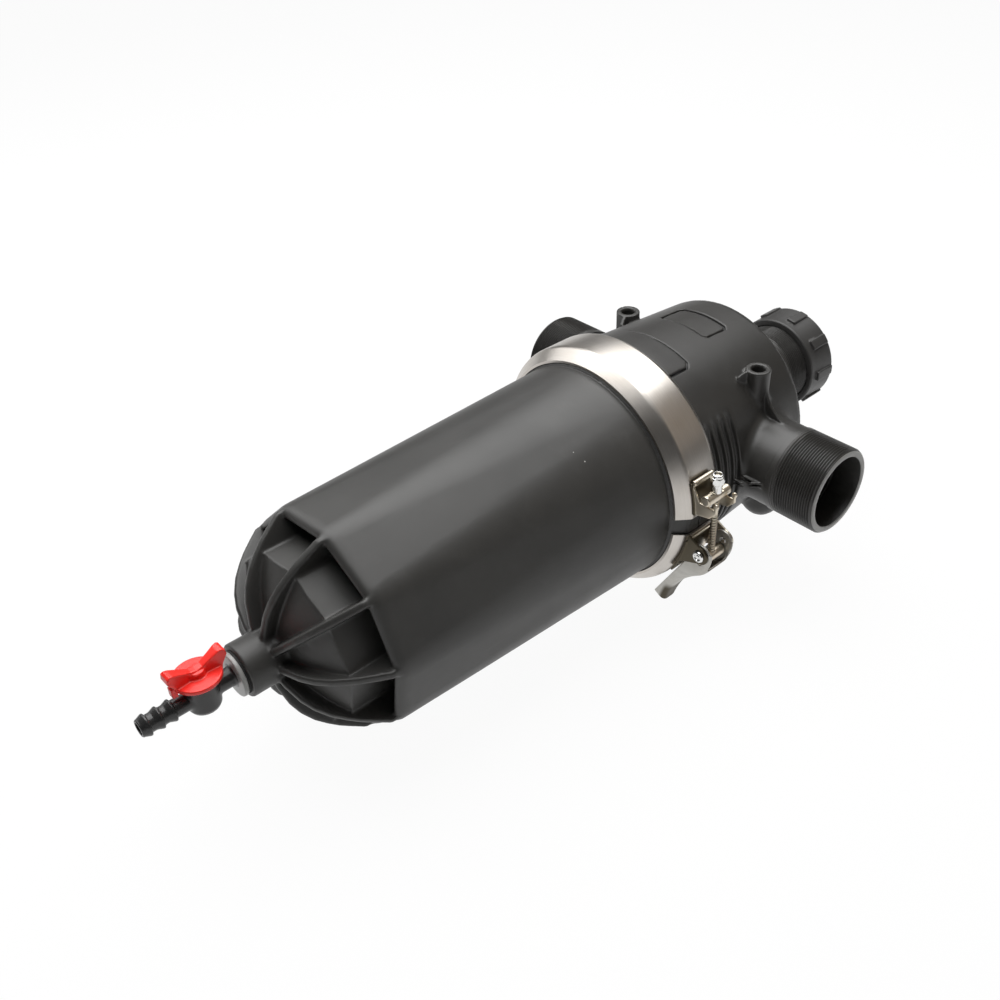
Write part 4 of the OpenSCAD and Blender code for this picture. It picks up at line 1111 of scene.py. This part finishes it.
class FILTER_OT_stage(bpy.types.Operator):
    """Sets the pale floor, the soft studio light and the camera"""
    bl_idname = "filter.stage"
    bl_label = "Stage"

    def execute(self, context):
        self.camera(context.scene)
        self.floor()
        self.light(context.scene)
        context.scene.view_settings.view_transform = "Standard"
        return {"FINISHED"}

    @staticmethod
    def camera(scene):
        data = bpy.data.cameras.new("studio_camera")
        data.lens = 38.4
        data.sensor_width = 36.0
        data.sensor_fit = "HORIZONTAL"
        data.shift_x = -0.0457
        data.shift_y = -0.0055
        data.clip_start = 0.01
        data.dof.use_dof = False
        camera = bpy.data.objects.new("studio_camera", data)
        right, up, back = (0.6852, 0.7281, -0.0203), (-0.4222, 0.4198, 0.8036), (0.5936, -0.5420, 0.5950)
        turn = Matrix((right, up, back)).transposed().to_quaternion().to_matrix().to_4x4()
        camera.matrix_world = Matrix.Translation((0.5150, -0.6402, 0.5162)) @ turn
        scene.collection.objects.link(camera)
        scene.camera = camera

    @staticmethod
    def floor():
        mesh = bpy.data.meshes.new("studio_floor")
        level = CAD_BOX[0][2] - 0.0005
        mesh.from_pydata([(-8, -8, level), (8, -8, level), (8, 8, level), (-8, 8, level)], [], [(0, 1, 2, 3)])
        floor = bpy.data.objects.new("studio_floor", mesh)
        bpy.context.scene.collection.objects.link(floor)
        f = Finish("studio_floor", Roughness=0.9, Base_Color=(0.86, 0.86, 0.86, 1.0))
        path = f.tree.nodes.new("ShaderNodeLightPath")
        seen = [Wire(f, path.outputs[name]) for name in ("Is Camera Ray", "Is Glossy Ray", "Is Transmission Ray")]
        share = seen[0].above(seen[1]).above(seen[2])
        glow = f.node("ShaderNodeEmission", {}, {"Color": (1.0, 1.0, 1.0, 1.0), "Strength": 1.0})
        blend = f.node("ShaderNodeMixShader", {}, {0: share*0.95, 1: Wire(f, f.shader.outputs[0]), 2: glow})
        f.tree.links.new(blend.socket, f.tree.nodes["Material Output"].inputs["Surface"])
        mesh.materials.append(f.material)

    @staticmethod
    def light(scene):
        world = bpy.data.worlds.new("studio_world")
        scene.world = world
        world.use_nodes = True
        tree = world.node_tree
        tree.nodes.clear()
        out = tree.nodes.new("ShaderNodeOutputWorld")
        white, dim, pick, path = (tree.nodes.new(kind) for kind in (
            "ShaderNodeBackground", "ShaderNodeBackground", "ShaderNodeMixShader", "ShaderNodeLightPath"))
        white.inputs["Color"].default_value = (1.0, 1.0, 1.0, 1.0)
        dim.inputs["Color"].default_value = (0.06, 0.06, 0.06, 1.0)
        tree.links.new(path.outputs["Is Camera Ray"], pick.inputs[0])
        tree.links.new(dim.outputs[0], pick.inputs[1])
        tree.links.new(white.outputs[0], pick.inputs[2])
        tree.links.new(pick.outputs[0], out.inputs[0])
        lamps = (
            ("softbox_top", (-0.47, 0.18, 1.30), (-0.47, 0.18, 0.0), (1.6, 2.0), 44.0, (1.0, 1.0, 1.0)),
            ("softbox_left", (-1.5, -0.5, 0.9), (0.0, -0.15, 0.0), (1.0, 1.0), 6.0, (1.0, 1.0, 1.0)),
            ("card_right", (1.1, 0.7, 1.0), (0.0, -0.15, 0.0), (1.3, 1.3), 1.5, (1.0, 0.86, 0.72)),
        )
        for name, place, aim, size, power, colour in lamps:
            data = bpy.data.lights.new(name, "AREA")
            data.shape = "RECTANGLE"
            data.size, data.size_y = size
            data.energy = power
            data.color = colour
            lamp = bpy.data.objects.new(name, data)
            lamp.location = place
            lamp.rotation_euler = (Vector(aim) - Vector(place)).to_track_quat("-Z", "Y").to_euler()
            scene.collection.objects.link(lamp)


PIECES = (FILTER_OT_stage, FILTER_OT_head, FILTER_OT_threads, FILTER_OT_bowl, FILTER_OT_band, FILTER_OT_clamp_plates,
          FILTER_OT_lever, FILTER_OT_bolt, FILTER_OT_cap, FILTER_OT_valve, FILTER_OT_handle, FILTER_OT_inner)


class FILTER_PT_pieces(bpy.types.Panel):
    """Lists the filter's pieces, sizes and colours"""
    bl_label = "Irrigation disc filter"
    bl_idname = "FILTER_PT_pieces"
    bl_space_type = "VIEW_3D"
    bl_region_type = "UI"
    bl_category = "Filter"

    def draw(self, context):
        for group in (context.scene.filter_sizes, context.scene.filter_finishes):
            box = self.layout.box()
            for name in group.__annotations__:
                box.prop(group, name)
        for piece in PIECES:
            self.layout.operator(piece.bl_idname)


CLASSES = (FilterFinishes, FilterSizes) + PIECES + (FILTER_PT_pieces,)


def register():
    for cls in CLASSES:
        bpy.utils.register_class(cls)
    bpy.types.Scene.filter_sizes = bpy.props.PointerProperty(type=FilterSizes)
    bpy.types.Scene.filter_finishes = bpy.props.PointerProperty(type=FilterFinishes)


def unregister():
    del bpy.types.Scene.filter_finishes
    del bpy.types.Scene.filter_sizes
    for cls in reversed(CLASSES):
        bpy.utils.unregister_class(cls)


def main():
    register()
    for piece in PIECES:
        group, call = piece.bl_idname.split(".")
        getattr(getattr(bpy.ops, group), call)()


if __name__ == "__main__":
    main()
